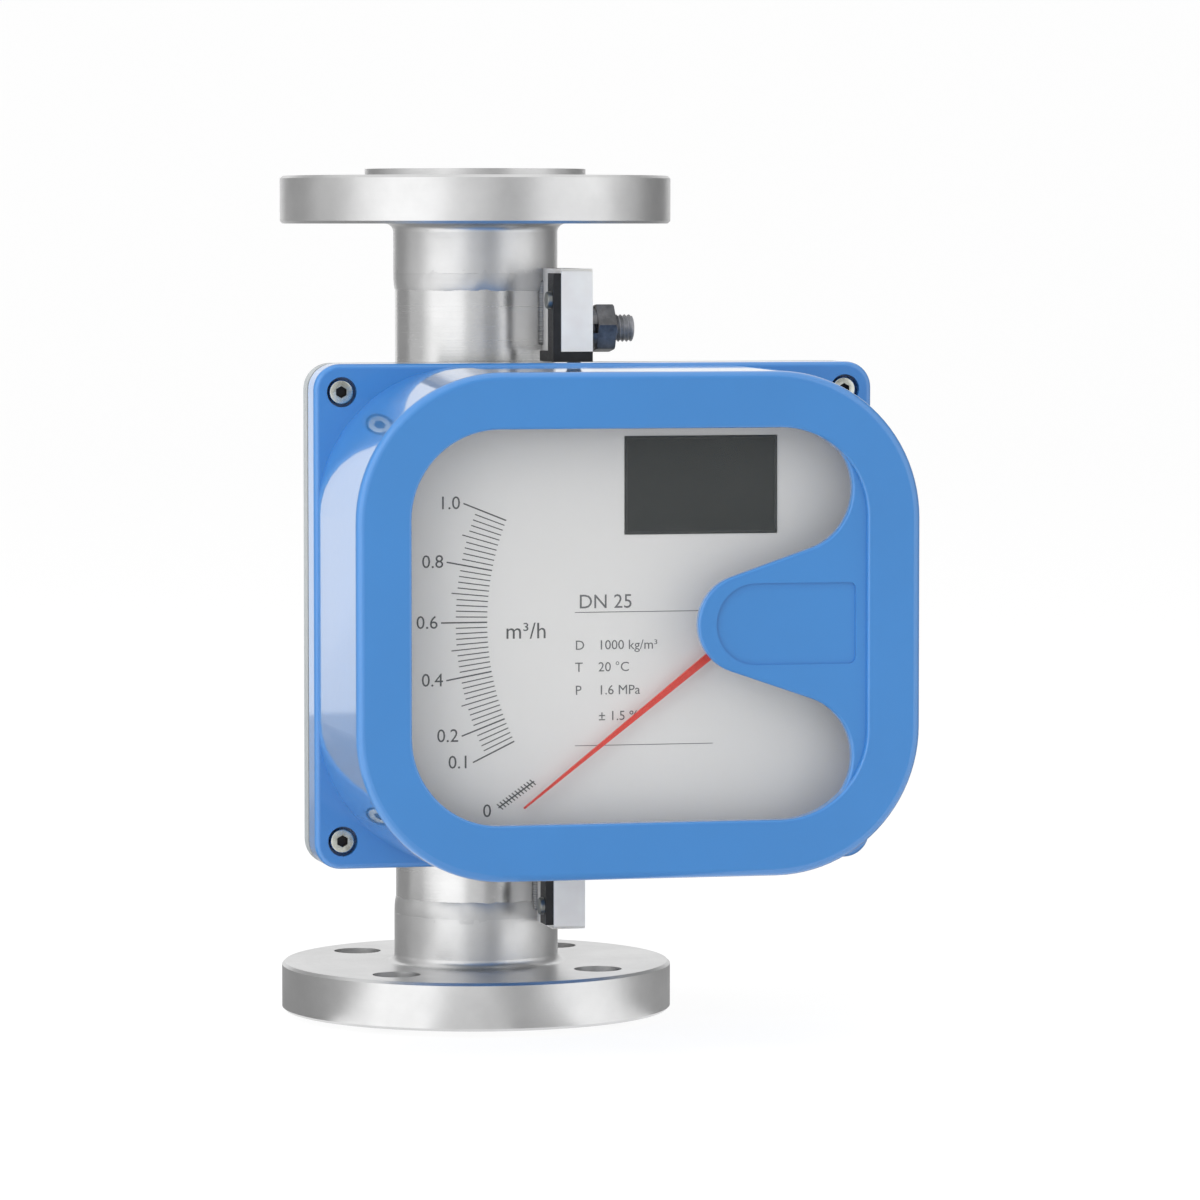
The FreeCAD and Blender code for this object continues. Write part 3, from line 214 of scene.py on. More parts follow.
def add_node(material, kind, inputs=None, **settings):
    node = material.node_tree.nodes.new(kind)
    for key, value in settings.items():
        setattr(node, key, value)
    for key, value in (inputs or {}).items():
        if isinstance(value, bpy.types.NodeSocket):
            material.node_tree.links.new(value, node.inputs[key])
        else:
            node.inputs[key].default_value = value
    return node


def feed(material, output, name):
    material.node_tree.links.new(output, principled(material).inputs[name])


def object_place(material, scale=(1.0, 1.0, 1.0), turn=(0.0, 0.0, 0.0)):
    """Object coordinates through a Mapping node."""
    place = add_node(material, "ShaderNodeTexCoord")
    mapping = add_node(material, "ShaderNodeMapping",
                       {"Vector": place.outputs["Object"], "Scale": scale, "Rotation": turn})
    return mapping.outputs["Vector"]


def noise(material, vector, scale=1.0, detail=2.0, rough=0.5):
    node = add_node(material, "ShaderNodeTexNoise",
                    {"Vector": vector, "Scale": scale, "Detail": detail, "Roughness": rough})
    return node.outputs["Fac"]


def between(material, amount, low, high, start=0.3, end=0.7):
    """Maps a 0-1 pattern to a range of values."""
    node = add_node(material, "ShaderNodeMapRange",
                    {"Value": amount, "From Min": start, "From Max": end, "To Min": low, "To Max": high})
    return node.outputs["Result"]


def shades(material, amount, dark, light, start=0.3, end=0.7):
    """Colour that runs from dark to light with a 0-1 pattern."""
    node = add_node(material, "ShaderNodeValToRGB", {"Fac": amount})
    first, last = node.color_ramp.elements
    first.position, first.color = start, (*dark, 1.0)
    last.position, last.color = end, (*light, 1.0)
    return node.outputs["Color"]


def blend_values(material, first, second, operation="ADD"):
    node = add_node(material, "ShaderNodeMath", operation=operation)
    for socket, value in zip(node.inputs, (first, second)):
        if isinstance(value, bpy.types.NodeSocket):
            material.node_tree.links.new(value, socket)
        else:
            socket.default_value = value
    return node.outputs["Value"]


def relief(material, height, strength, distance):
    bump = add_node(material, "ShaderNodeBump",
                    {"Height": height, "Strength": strength, "Distance": distance})
    feed(material, bump.outputs["Normal"], "Normal")


def tinted(base, factor):
    return tuple(min(1.0, channel * factor) for channel in base)


def turning_lines(material, pitch):
    """Fine tool lines about the tube's axis: round the sides and in circles on the faces."""
    place = add_node(material, "ShaderNodeTexCoord").outputs["Object"]
    flat = add_node(material, "ShaderNodeVectorMath", {0: place, 1: (1.0, 1.0, 0.0)}, operation="MULTIPLY")
    radius = add_node(material, "ShaderNodeVectorMath", {0: flat.outputs["Vector"]}, operation="LENGTH")
    parts = add_node(material, "ShaderNodeSeparateXYZ", {"Vector": place})
    side = blend_values(material, parts.outputs["X"], 12.0, "MULTIPLY")
    rings = add_node(material, "ShaderNodeCombineXYZ", {
        "X": blend_values(material, radius.outputs["Value"], 1.0 / pitch, "MULTIPLY"),
        "Y": side,
        "Z": blend_values(material, parts.outputs["Z"], 1.0 / pitch, "MULTIPLY"),
    })
    return noise(material, rings.outputs["Vector"], 1.0, 3.0, 0.6)


# ---------------------------------------------------------------- materials
def turned_steel(name, base, pitch, roughness, grain):
    """Stainless steel with tool lines, a cast grain under them and faint handling marks."""
    material = new_material(name, base, 1.0, roughness)
    place = object_place(material)
    lines = turning_lines(material, pitch)
    speckle = noise(material, place, 1500.0, 3.0, 0.65)
    marks = noise(material, place, 45.0, 4.0, 0.6)
    mixed = blend_values(material, lines, blend_values(material, speckle, grain, "MULTIPLY"))
    feed(material, shades(material, marks, tinted(base, 0.90), tinted(base, 1.06)), "Base Color")
    feed(material, between(material, mixed, roughness - 0.05, roughness + 0.08, 0.2, 1.2), "Roughness")
    relief(material, mixed, 0.16, 0.00009)


def clouded(name, base, metallic, roughness, tones, spread, cloud, grain=None, bump=None, ramp=(0.3, 0.7)):
    """Material whose colour drifts with a cloud and whose roughness and relief follow a grain.

    cloud and grain are the scale, detail and roughness of a noise, and without a grain the cloud serves for
    both.  tones are two shares of the base colour, spread is the range of roughness, and bump is the
    relief's strength and depth.
    """
    material = new_material(name, base, metallic, roughness)
    place = object_place(material)
    clouds = noise(material, place, *cloud)
    grains = noise(material, place, *grain) if grain else clouds
    dark, light = tones
    feed(material, shades(material, clouds, tinted(base, dark), tinted(base, light), *ramp), "Base Color")
    feed(material, between(material, grains, *spread), "Roughness")
    if bump:
        relief(material, grains, *bump)
    return material


def scuffs(material, scale, strength, depth):
    relief(material, noise(material, object_place(material), scale), strength, depth)


def polished_steel(name, base, roughness):
    """Bright steel with faint cloud and scuffs."""
    material = clouded(name, base, 1.0, roughness, (0.88, 1.08), (roughness * 0.8, roughness * 1.3),
                       (220.0, 4.0, 0.6))
    scuffs(material, 2400.0, 0.05, 0.00002)


def ground_steel(name, base, side_x):
    """Milled and plated block, pale, with straight grinding lines; its side at side_x is painted darker as
    shade beside the tube.
    """
    material = new_material(name, base, 0.10, 0.42)
    lines = noise(material, object_place(material, (60.0, 60.0, 3200.0)), 1.0, 3.0, 0.6)
    patches = noise(material, object_place(material), 130.0, 3.0, 0.5)
    ground = shades(material, patches, tinted(base, 0.94), tinted(base, 1.04))
    # Painted shade: the face at side_x takes a darker grey in place of the ground colour.
    place = add_node(material, "ShaderNodeSeparateXYZ", {"Vector": object_place(material)})
    on_side = blend_values(material, place.outputs["X"], side_x + PAINTED_SHADE_DEPTH, "LESS_THAN")
    skin = add_node(material, "ShaderNodeMix", data_type="RGBA")
    material.node_tree.links.new(on_side, skin.inputs["Factor"])
    material.node_tree.links.new(ground, skin.inputs["A"])
    skin.inputs["B"].default_value = (*LUG_SIDE_PAINTED_SHADE, 1.0)
    feed(material, skin.outputs["Result"], "Base Color")
    feed(material, between(material, lines, 0.34, 0.50), "Roughness")
    relief(material, lines, 0.12, 0.00003)


def dark_steel(name, base, metallic, roughness):
    """Phosphated or blackened steel: matt crystals, slightly worn to brighter metal."""
    clouded(name, base, metallic, roughness, (0.75, 1.55), (roughness - 0.08, roughness + 0.12),
            (260.0, 4.0, 0.6), (3000.0, 3.0, 0.7), (0.25, 0.00004), (0.35, 0.72))


def enamel(base, peel):
    """Stoved gloss coat with a faint orange peel, under a clear skin."""
    material = clouded("cover_enamel", base, 0.0, 0.30, (0.97, 1.03), (0.29, 0.31, 0.1, 0.9),
                       (18.0, 3.0, 0.5), (1.0 / peel, 1.0, 0.4), (0.004, 0.00012))
    shader = principled(material)
    shader.inputs["Coat Weight"].default_value = 1.0
    shader.inputs["Coat Roughness"].default_value = 0.05
    shader.inputs["Coat IOR"].default_value = 1.55


def sprayed_coat(name, base, roughness):
    """Sprayed coat with a fine texture."""
    clouded(name, base, 0.0, roughness, (0.96, 1.02), (roughness - 0.05, roughness + 0.07),
            (30.0, 3.0, 0.5), (900.0, 2.0, 0.5), (0.10, 0.00006))


def rubber():
    material = new_material("nitrile_rubber", (0.018, 0.018, 0.018), 0.0, 0.72)
    place = object_place(material)
    dust = noise(material, place, 500.0, 4.0, 0.7)
    feed(material, shades(material, dust, (0.012, 0.012, 0.012), (0.035, 0.035, 0.036)), "Base Color")
    feed(material, between(material, dust, 0.62, 0.82), "Roughness")
    relief(material, noise(material, place, 2500.0, 2.0), 0.2, 0.00004)


def plated(name, base, roughness):
    """Zinc or nickel plate: a lively, slightly cloudy metal skin."""
    material = clouded(name, base, 1.0, roughness, (0.80, 1.10), (roughness - 0.08, roughness + 0.10),
                       (700.0, 3.0, 0.6))
    scuffs(material, 2600.0, 0.08, 0.00003)


def clear_glass():
    """Float glass: nearly clear, a trace of green, with faint wiping haze."""
    material = new_material("window_glass_clear", (0.34, 0.38, 0.37), 0.0, 0.02)
    shader = principled(material)
    shader.inputs["IOR"].default_value = 1.5
    shader.inputs["Alpha"].default_value = 0.05
    haze = noise(material, object_place(material), 35.0, 4.0, 0.6)
    feed(material, between(material, haze, 0.015, 0.045), "Roughness")


def satin_dial(base):
    """Silkscreened aluminium: a satin silver with a very fine even grain."""
    clouded("silver_dial", base, 0.12, 0.48, (0.975, 1.01), (0.42, 0.55),
            (14.0, 2.0, 0.4), (4200.0, 2.0, 0.6), (0.08, 0.00002))


def lacquer(name, base, roughness):
    """Thin even lacquer or ink."""
    clouded(name, base, 0.0, roughness, (0.88, 1.10), (roughness - 0.06, roughness + 0.08), (900.0, 3.0, 0.6))


def gloss_plastic(name, base, roughness):
    """Smooth plastic with faint smears."""
    clouded(name, base, 0.0, roughness, (0.92, 1.10), (roughness - 0.03, roughness + 0.06), (60.0, 4.0, 0.6))


def moulded_plastic(name, base):
    """Spark-eroded moulding texture."""
    clouded(name, base, 0.0, 0.55, (0.9, 1.1), (0.48, 0.64), (80.0, 3.0, 0.5), (2600.0, 3.0, 0.7),
            (0.18, 0.00005))


def board_laminate():
    """Green mask with copper tracks that show as paler straight runs."""
    green, track = (0.012, 0.105, 0.045), (0.030, 0.190, 0.085)
    material = new_material("board_laminate", green, 0.0, 0.32)
    tracks = add_node(material, "ShaderNodeTexBrick",
                      {"Vector": object_place(material, (420.0, 420.0, 420.0), (math.pi / 2, 0.0, 0.0)),
                       "Color1": (*green, 1.0), "Color2": (*tinted(green, 1.25), 1.0),
                       "Mortar": (*track, 1.0), "Scale": 1.0, "Mortar Size": 0.06})
    feed(material, tracks.outputs["Color"], "Base Color")
    relief(material, tracks.outputs["Fac"], 0.2, 0.00004)


# ---------------------------------------------------------------- modelling helpers
def start():
    """Leave edit mode and let go of everything, so that an operator acts on new work only."""
    if bpy.context.object is not None and bpy.context.object.mode != "OBJECT":
        leave_edit()
    bpy.ops.object.select_all(action="DESELECT")


def leave_edit():
    bpy.ops.object.mode_set(mode="OBJECT")


def hold(pieces):
    """Select these objects only; the first is active."""
    start()
    for piece in pieces:
        piece.select_set(True)
    bpy.context.view_layer.objects.active = pieces[0]


def settle(piece):
    """Put the piece's place, turn and size into its mesh."""
    hold([piece])
    bpy.ops.object.transform_apply(location=True, rotation=True, scale=True)


def joined(pieces):
    hold(pieces)
    if len(pieces) > 1:
        bpy.ops.object.join()
    piece = bpy.context.view_layer.objects.active
    settle(piece)
    return piece


def copied(piece, offset):
    """A copy with its own mesh, moved by an offset."""
    hold([piece])
    bpy.ops.object.duplicate(linked=False)
    copy = bpy.context.view_layer.objects.active
    bpy.ops.transform.translate(value=offset)
    settle(copy)
    return copy


def apply_modifier(piece, kind, **settings):
    hold([piece])
    modifier = piece.modifiers.new(kind.title(), kind)
    for key, value in settings.items():
        setattr(modifier, key, value)
    bpy.ops.object.modifier_apply(modifier=modifier.name)


def edit_all(piece):
    """Enter edit mode with everything selected."""
    hold([piece])
    bpy.ops.object.mode_set(mode="EDIT")
    bpy.ops.mesh.select_all(action="SELECT")


def pick(piece, kind, test):
    """In edit mode, select the vertices or edges whose centre passes the test."""
    hold([piece])
    bpy.ops.object.mode_set(mode="EDIT")
    bpy.ops.mesh.select_mode(type=kind)
    bpy.ops.mesh.select_all(action="DESELECT")
    mesh = bmesh.from_edit_mesh(piece.data)
    for element in mesh.verts if kind == "VERT" else mesh.edges:
        if kind == "VERT":
            centre = element.co
        else:
            centre = (element.verts[0].co + element.verts[1].co) / 2
        if test(centre, element):
            element.select_set(True)
    mesh.select_flush_mode()
    bmesh.update_edit_mesh(piece.data)


def bevelled(piece, test, offset, segments):
    """Bevel the edges that pass the test."""
    pick(piece, "EDGE", test)
    bpy.ops.mesh.bevel(offset=offset, segments=segments)
    leave_edit()


def outward(piece):
    """Merge doubles and turn every face outwards."""
    edit_all(piece)
    bpy.ops.mesh.remove_doubles(threshold=DOUBLES)
    bpy.ops.mesh.normals_make_consistent(inside=False)
    leave_edit()


def smooth(piece, limit_deg=35.0):
    hold([piece])
    bpy.ops.object.shade_smooth_by_angle(angle=math.radians(limit_deg))


def finished(piece, name, material, body="meter"):
    """Name the piece, give it its material and let it ride on its body."""
    start()
    piece.name = name
    piece.data.name = name
    piece.data.materials.clear()
    piece.data.materials.append(bpy.data.materials[material])
    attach(piece, body)


def cylinder(radius, depth, centre, turn=(0.0, 0.0, 0.0), vertices=48):
    bpy.ops.mesh.primitive_cylinder_add(vertices=vertices, radius=radius, depth=depth, location=centre,
                                        rotation=turn)
    piece = bpy.context.object
    settle(piece)
    return piece


def box_between(low, high):
    middle = (Vector(low) + Vector(high)) / 2
    bpy.ops.mesh.primitive_cube_add(size=1.0, location=middle)
    piece = bpy.context.object
    piece.scale = Vector(high) - Vector(low)
    settle(piece)
    return piece


def combine(piece, other, operation):
    """Boolean of two closed pieces; the other is used up."""
    apply_modifier(piece, "BOOLEAN", object=other, operation=operation, solver="EXACT")
    bpy.data.objects.remove(other)


# ---------------------------------------------------------------- print on the dial
def flat_stroke(x, z, long, wide, turn):
    """Flat stroke on the dial's face, centred at x, z and turned about the pointer's direction."""
    bpy.ops.mesh.primitive_plane_add(size=1.0, location=(x, DIAL_Y, z), rotation=(FACING_READER, turn, 0.0))
    piece = bpy.context.object
    piece.scale = (long, wide, 1.0)
    settle(piece)
    return piece


def radial_stroke(turn, inner, outer, wide):
    """Stroke that points at the pointer's axis; turn is upwards from the left."""
    middle = (inner + outer) / 2
    x = PIVOT_X - middle * math.cos(turn)
    z = PIVOT_Z + middle * math.sin(turn)
    return flat_stroke(x, z, outer - inner, wide, turn)


def print_strokes(strokes, ink_height):
    piece = joined(strokes)
    apply_modifier(piece, "SOLIDIFY", thickness=2 * ink_height, offset=0.0)
    outward(piece)
    return piece


def printed_words(words, x, z, size, ink_height, align="CENTER"):
    """Words on the dial's face, as a closed mesh."""
    start()
    bpy.ops.object.text_add(location=(x, DIAL_Y, z), rotation=(FACING_READER, 0.0, 0.0))
    text = bpy.context.object
    text.data.body = words
    text.data.size = size
    text.data.align_x = align
    text.data.align_y = "CENTER"
    text.data.extrude = ink_height
    text.data.resolution_u = 3
    bpy.ops.object.convert(target="MESH")
    settle(text)
    return text


def value_turn(settings, value):
    above = value - settings.level_value
    return above * (settings.turn_above if above > 0.0 else settings.turn_below)


class ROTAMETER_OT_scale(bpy.types.Operator):
    """Print the ticks of the flow scale"""
    bl_idname = "rotameter.scale"
    bl_label = "Flow scale"

    def execute(self, context):
        dial = context.scene.rotameter_dial
        start()
        strokes = []
        for hundredths in range(10, 101, 2):
            turn = value_turn(dial, hundredths / 100.0)
            numbered = hundredths % 20 == 0 or hundredths == 10
            reach = dial.long_tick if numbered else dial.short_tick
            if hundredths % 10 == 0 and not numbered:
                reach = dial.middle_tick
            wide = dial.bold_stroke if numbered else dial.stroke
            strokes.append(radial_stroke(turn, dial.inner_radius, dial.inner_radius + reach, wide))
        piece = print_strokes(strokes, dial.ink_height)
        finished(piece, "scale_ticks", "dial_ink")
        return {"FINISHED"}


class ROTAMETER_OT_numbers(bpy.types.Operator):
    """Print the scale's numbers and its unit"""
    bl_idname = "rotameter.numbers"
    bl_label = "Numbers and unit"

    def execute(self, context):
        dial = context.scene.rotameter_dial
        words = []
        reach = dial.inner_radius + dial.long_tick
        for value in (0.1, 0.2, 0.4, 0.6, 0.8, 1.0):
            turn = value_turn(dial, value)
            x = PIVOT_X - reach * math.cos(turn) - dial.number_gap
            z = PIVOT_Z + reach * math.sin(turn)
            words.append(printed_words("%.1f" % value, x, z, dial.number_size, dial.ink_height, "RIGHT"))
        numbers = joined(words)
        finished(numbers, "scale_numbers", "dial_ink")
        unit = printed_words("m³/h", PIVOT_X + UNIT_AT[0], PIVOT_Z + UNIT_AT[1], dial.unit_size,
                             dial.ink_height)
        finished(unit, "scale_unit", "dial_ink")
        return {"FINISHED"}


class ROTAMETER_OT_rest_mark(bpy.types.Operator):
    """Print the hatched mark where the pointer rests without flow"""
    bl_idname = "rotameter.rest_mark"
    bl_label = "Rest mark"

    def execute(self, context):
        dial = context.scene.rotameter_dial
        start()
        strokes = [radial_stroke(-dial.rest_turn, dial.rest_inner, dial.rest_outer, dial.bold_stroke)]
        step = (dial.rest_outer - dial.rest_inner) / dial.rest_strokes
        for i in range(dial.rest_strokes):
            radius = dial.rest_inner + (i + 0.5) * step
            x = PIVOT_X - radius * math.cos(dial.rest_turn)
            z = PIVOT_Z - radius * math.sin(dial.rest_turn)
            strokes.append(flat_stroke(x, z, HATCH_LONG * step, dial.stroke * HATCH_SHARE, HATCH_TURN))
        piece = print_strokes(strokes, dial.ink_height)
        zero = printed_words("0", PIVOT_X + ZERO_AT[0], PIVOT_Z + ZERO_AT[1], dial.number_size,
                             dial.ink_height)
        mark = joined([piece, zero])
        finished(mark, "rest_mark", "dial_ink")
        return {"FINISHED"}


class ROTAMETER_OT_data_lines(bpy.types.Operator):
    """Print two rules and the plain data between them"""
    bl_idname = "rotameter.data_lines"
    bl_label = "Data lines"

    def execute(self, context):
        dial = context.scene.rotameter_dial
        start()
        left = PIVOT_X + dial.rule_left
        rules = []
        for rise, long in ((dial.rule_upper, UPPER_RULE_LONG), (dial.rule_lower, LOWER_RULE_LONG)):
            rules.append(flat_stroke(left + long / 2, PIVOT_Z + rise, long, dial.stroke * RULE_SHARE, 0.0))
        piece = print_strokes(rules, dial.ink_height)
        finished(piece, "dial_rules", "dial_ink")
        prints = [("DN 25", left + TITLE_AT[0], TITLE_AT[1], TITLE_SIZE)]
        for rise, sign, value in DATA_ROWS:
            if sign:
                prints.append((sign, left, rise, dial.data_size))
            prints.append((value, left + VALUES_IN, rise, dial.data_size))
        words = [printed_words(line, x, PIVOT_Z + rise, size, dial.ink_height, "LEFT")
                 for line, x, rise, size in prints]
        text = joined(words)
        finished(text, "dial_data", "dial_ink_pale")
        return {"FINISHED"}


class ROTAMETER_OT_display_surround(bpy.types.Operator):
    """Frame the display's pane with a thin moulded edge"""
    bl_idname = "rotameter.display_surround"
    bl_label = "Display surround"

    def execute(self, context):
        edge, proud = SURROUND_EDGE, SURROUND_PROUD
        outer = box_between((GLASS_LOW.x, DIAL_Y - proud, GLASS_LOW.z), (GLASS_HIGH.x, DIAL_Y, GLASS_HIGH.z))
        opening = box_between((GLASS_LOW.x + edge, DIAL_Y - 3 * proud, GLASS_LOW.z + edge),
                              (GLASS_HIGH.x - edge, DIAL_Y + 3 * proud, GLASS_HIGH.z - edge))
        combine(outer, opening, "DIFFERENCE")
        apply_modifier(outer, "BEVEL", width=SURROUND_BEVEL, segments=2)
        outward(outer)
        smooth(outer)
        finished(outer, "display_surround", "display_moulding")
        return {"FINISHED"}


def round_corners(piece, radius, test):
    """Round the upright corners, seen from the front, whose centre passes the test."""
    def upright(centre, edge):
        along = edge.verts[1].co - edge.verts[0].co
        return abs(along.y) > SAME_PLACE and along.xz.length < SAME_PLACE and test(centre)
    bevelled(piece, upright, radius, 20)


class ROTAMETER_OT_window_seal(bpy.types.Operator):
    """Cut the window's rubber seal so that it follows the opening's corners"""
    bl_idname = "rotameter.window_seal"
    bl_label = "Window seal"

    def execute(self, context):
        bracket = context.scene.rotameter_bracket
        middle = (SEAL_LOW.x + SEAL_HIGH.x) / 2
        depth = SEAL_HIGH.y - SEAL_LOW.y
        start()
        seal = box_between(SEAL_LOW, SEAL_HIGH)
        round_corners(seal, bracket.seal_corner, lambda centre: True)
        inset = Vector((bracket.seal_width, -depth, bracket.seal_width))
        opening = box_between(SEAL_LOW + inset, SEAL_HIGH - inset)
        lobes_x = SEAL_HIGH.x - 2 * bracket.seal_width
        round_corners(opening, bracket.seal_corner - bracket.seal_width, lambda centre: centre.x < middle)
        round_corners(opening, bracket.lobe_corner, lambda centre: centre.x > lobes_x)
        combine(seal, opening, "DIFFERENCE")
        outward(seal)
        smooth(seal, 30.0)
        finished(seal, "window_seal_cut", "nitrile_rubber")
        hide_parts("window_gasket")
        return {"FINISHED"}


# ---------------------------------------------------------------- fasteners and welds
def helical_thread(radius, depth, pitch, low_x, high_x, y, z):
    """Closed threaded rod along X: a V profile is wound about X, then cut square at both ends."""
    start()
    root = radius - depth
    turns = int((high_x - low_x) / pitch) + 4
    half = pitch / 2
    bpy.ops.mesh.primitive_plane_add(size=math.sqrt(2.0) * half, location=(0.0, 0.0, root),
                                     rotation=(FACING_READER, math.pi / 4, 0.0))
    profile = bpy.context.object
    settle(profile)
    pick(profile, "VERT", lambda co, vertex: co.z < root - half / 2)
    bpy.ops.mesh.delete(type="VERT")
    bpy.ops.mesh.select_all(action="DESELECT")
    leave_edit()
    pick(profile, "VERT", lambda co, vertex: co.z > root + half / 2)
    bpy.ops.transform.translate(value=(0.0, 0.0, depth - half))
    leave_edit()
    apply_modifier(profile, "SCREW", axis="X", screw_offset=pitch, iterations=turns, steps=36,
                   render_steps=36, use_merge_vertices=True, merge_threshold=DOUBLES)
    hold([profile])
    bpy.ops.transform.translate(value=(low_x - 2 * pitch, y, z))
    settle(profile)
    outward(profile)
    for end, direction in ((low_x, -1.0), (high_x, 1.0)):
        edit_all(profile)
        bpy.ops.mesh.bisect(plane_co=(end, y, z), plane_no=(direction, 0.0, 0.0), use_fill=True,
                            clear_outer=True)
        leave_edit()
    outward(profile)
    return profile


class ROTAMETER_OT_stud(bpy.types.Operator):
    """Model the threaded earth stud in the upper lug"""
    bl_idname = "rotameter.stud"
    bl_label = "Earth stud"

    def execute(self, context):
        bracket = context.scene.rotameter_bracket
        y = (STUD_LOW.y + STUD_HIGH.y) / 2
        z = (STUD_LOW.z + STUD_HIGH.z) / 2
        radius = (STUD_HIGH.z - STUD_LOW.z) / 2
        shank_end = WASHER_LOW.x - bracket.pitch
        rod = helical_thread(radius, bracket.thread_depth, bracket.pitch, shank_end, STUD_HIGH.x, y, z)
        reach = STUD_HIGH.x - STUD_LOW.x
        envelope = cylinder(radius, reach, ((STUD_LOW.x + STUD_HIGH.x) / 2, y, z), ALONG_X, 64)
        bevelled(envelope, lambda centre, edge: all(abs(end.co.x - STUD_HIGH.x) < SAME_PLACE
                                                    for end in edge.verts), bracket.tip_bevel, 2)
        combine(rod, envelope, "INTERSECT")
        shank = cylinder(radius - bracket.thread_depth / 2, shank_end - STUD_LOW.x,
                         ((shank_end + STUD_LOW.x) / 2, y, z), ALONG_X, 48)
        stud = joined([rod, shank])
        smooth(stud, 30.0)
        finished(stud, "earth_stud_threaded", "stud_steel")
        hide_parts("clamp_stud")
        return {"FINISHED"}


class ROTAMETER_OT_cover_screws(bpy.types.Operator):
    """Model the four socket screws in the cover's corners"""
    bl_idname = "rotameter.cover_screws"
    bl_label = "Cover screws"

    def execute(self, context):
        bracket = context.scene.rotameter_bracket
        screws_low, screws_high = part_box("cover_screws")
        x = screws_low.x + HEAD_RADIUS
        z = screws_low.z + HEAD_RADIUS
        top, bottom = screws_low.y, screws_high.y
        head = cylinder(HEAD_RADIUS, HEAD_HEIGHT, (x, top + HEAD_HEIGHT / 2, z), ALONG_Y, 64)
        bevelled(head, lambda centre, edge: all(abs(end.co.y - top) < SAME_PLACE for end in edge.verts),
                 bracket.head_bevel, 3)
        combine(head, cylinder(SOCKET_RADIUS, 2 * SOCKET_DEPTH, (x, top, z), ALONG_Y, 6), "DIFFERENCE")
        stem = cylinder(STEM_RADIUS, bottom - top - HEAD_HEIGHT, (x, (top + HEAD_HEIGHT + bottom) / 2, z),
                        ALONG_Y, 32)
        screw = joined([head, stem])
        across = (screws_high.x - screws_low.x) - 2 * HEAD_RADIUS
        up = (screws_high.z - screws_low.z) - 2 * HEAD_RADIUS
        copies = [copied(screw, offset) for offset in ((across, 0, 0), (0, 0, up), (across, 0, up))]
        screws = joined([screw] + copies)
        smooth(screws, 30.0)
        finished(screws, "cover_screw_set", "screw_plate")
        # Painted shade: the faces inside each socket take the dark black-oxide finish, though the screw is
        # plated all over.
        screws.data.materials.append(bpy.data.materials["black_oxide_and_socket_shade"])
        for face in screws.data.polygons:
            near_x = min(abs(face.center.x - side) for side in (x, x + across))
            near_z = min(abs(face.center.z - side) for side in (z, z + up))
            below = face.center.y - top
            inside = math.hypot(near_x, near_z) < SOCKET_RADIUS + SOCKET_MARGIN
            if inside and SAME_PLACE < below < SOCKET_DEPTH + SOCKET_MARGIN:
                face.material_index = 1
        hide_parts("cover_screws")
        return {"FINISHED"}


def weld_run(begin, end, radius, step):
    """Overlapping ripples of weld metal between two points."""
    begin, end = Vector(begin), Vector(end)
    count = max(2, int(round((end - begin).length / step)))
    ripples = []
    for i in range(count + 1):
        place = begin.lerp(end, i / count)
        bpy.ops.mesh.primitive_uv_sphere_add(segments=12, ring_count=8, radius=radius, location=place)
        ripple = bpy.context.object
        share = 1.0 if i % 2 else RIPPLE_SMALL
        ripple.scale = (share, share, RIPPLE_FLAT)
        settle(ripple)
        ripples.append(ripple)
    return ripples


class ROTAMETER_OT_lug_welds(bpy.types.Operator):
    """Lay the weld runs that hold both lugs on the tube"""
    bl_idname = "rotameter.lug_welds"
    bl_label = "Lug welds"

    def execute(self, context):
        bracket = context.scene.rotameter_bracket
        tube_radius = (TUBE_HIGH.x - TUBE_LOW.x) / 2
        start()
        for node, name in (("upper_lug", "upper_lug_weld"), ("lower_lug", "lower_lug_weld")):
            low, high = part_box(node)
            margin = 1.5 * bracket.weld_radius
            bottom = max(low.z + margin, TUBE_LOW.z + margin)
            top = min(high.z - margin, TUBE_HIGH.z - margin)
            left_y = -math.sqrt(tube_radius ** 2 - low.x ** 2)
            right_x = math.sqrt(tube_radius ** 2 - high.y ** 2)
            ripples = []
            for x, y in ((low.x, left_y), (right_x, high.y)):
                ripples += weld_run((x, y, bottom), (x, y, top), bracket.weld_radius, bracket.weld_step)
            run = joined(ripples)
            smooth(run, 60.0)
            finished(run, name, "weld_bead")
        return {"FINISHED"}


class ROTAMETER_OT_seam_welds(bpy.types.Operator):
    """Turn the ground weld seams between both necks and the tube"""
    bl_idname = "rotameter.seam_welds"
    bl_label = "Seam welds"

    def execute(self, context):
        bracket = context.scene.rotameter_bracket
        tube_radius = (TUBE_HIGH.x - TUBE_LOW.x) / 2
        buried = 2 * bracket.seam_height
        crest = buried + bracket.seam_height
        start()
        for z, name in ((TUBE_LOW.z, "lower_seam_weld"), (TUBE_HIGH.z, "upper_seam_weld")):
            bpy.ops.mesh.primitive_torus_add(location=(0.0, 0.0, z), major_radius=tube_radius - buried,
                                             minor_radius=crest, major_segments=144, minor_segments=24)
            seam = bpy.context.object
            seam.scale = (1.0, 1.0, bracket.seam_width / (2 * math.sqrt(crest ** 2 - buried ** 2)))
            settle(seam)
            ripple = bpy.data.textures.new(name + "_ripple", "CLOUDS")
            ripple.noise_scale = SEAM_WAVE
            apply_modifier(seam, "DISPLACE", texture=ripple, strength=SEAM_WAVE_HEIGHT, mid_level=0.5,
                           texture_coords="LOCAL")
            smooth(seam, 60.0)
            finished(seam, name, "seam_steel")
        return {"FINISHED"}


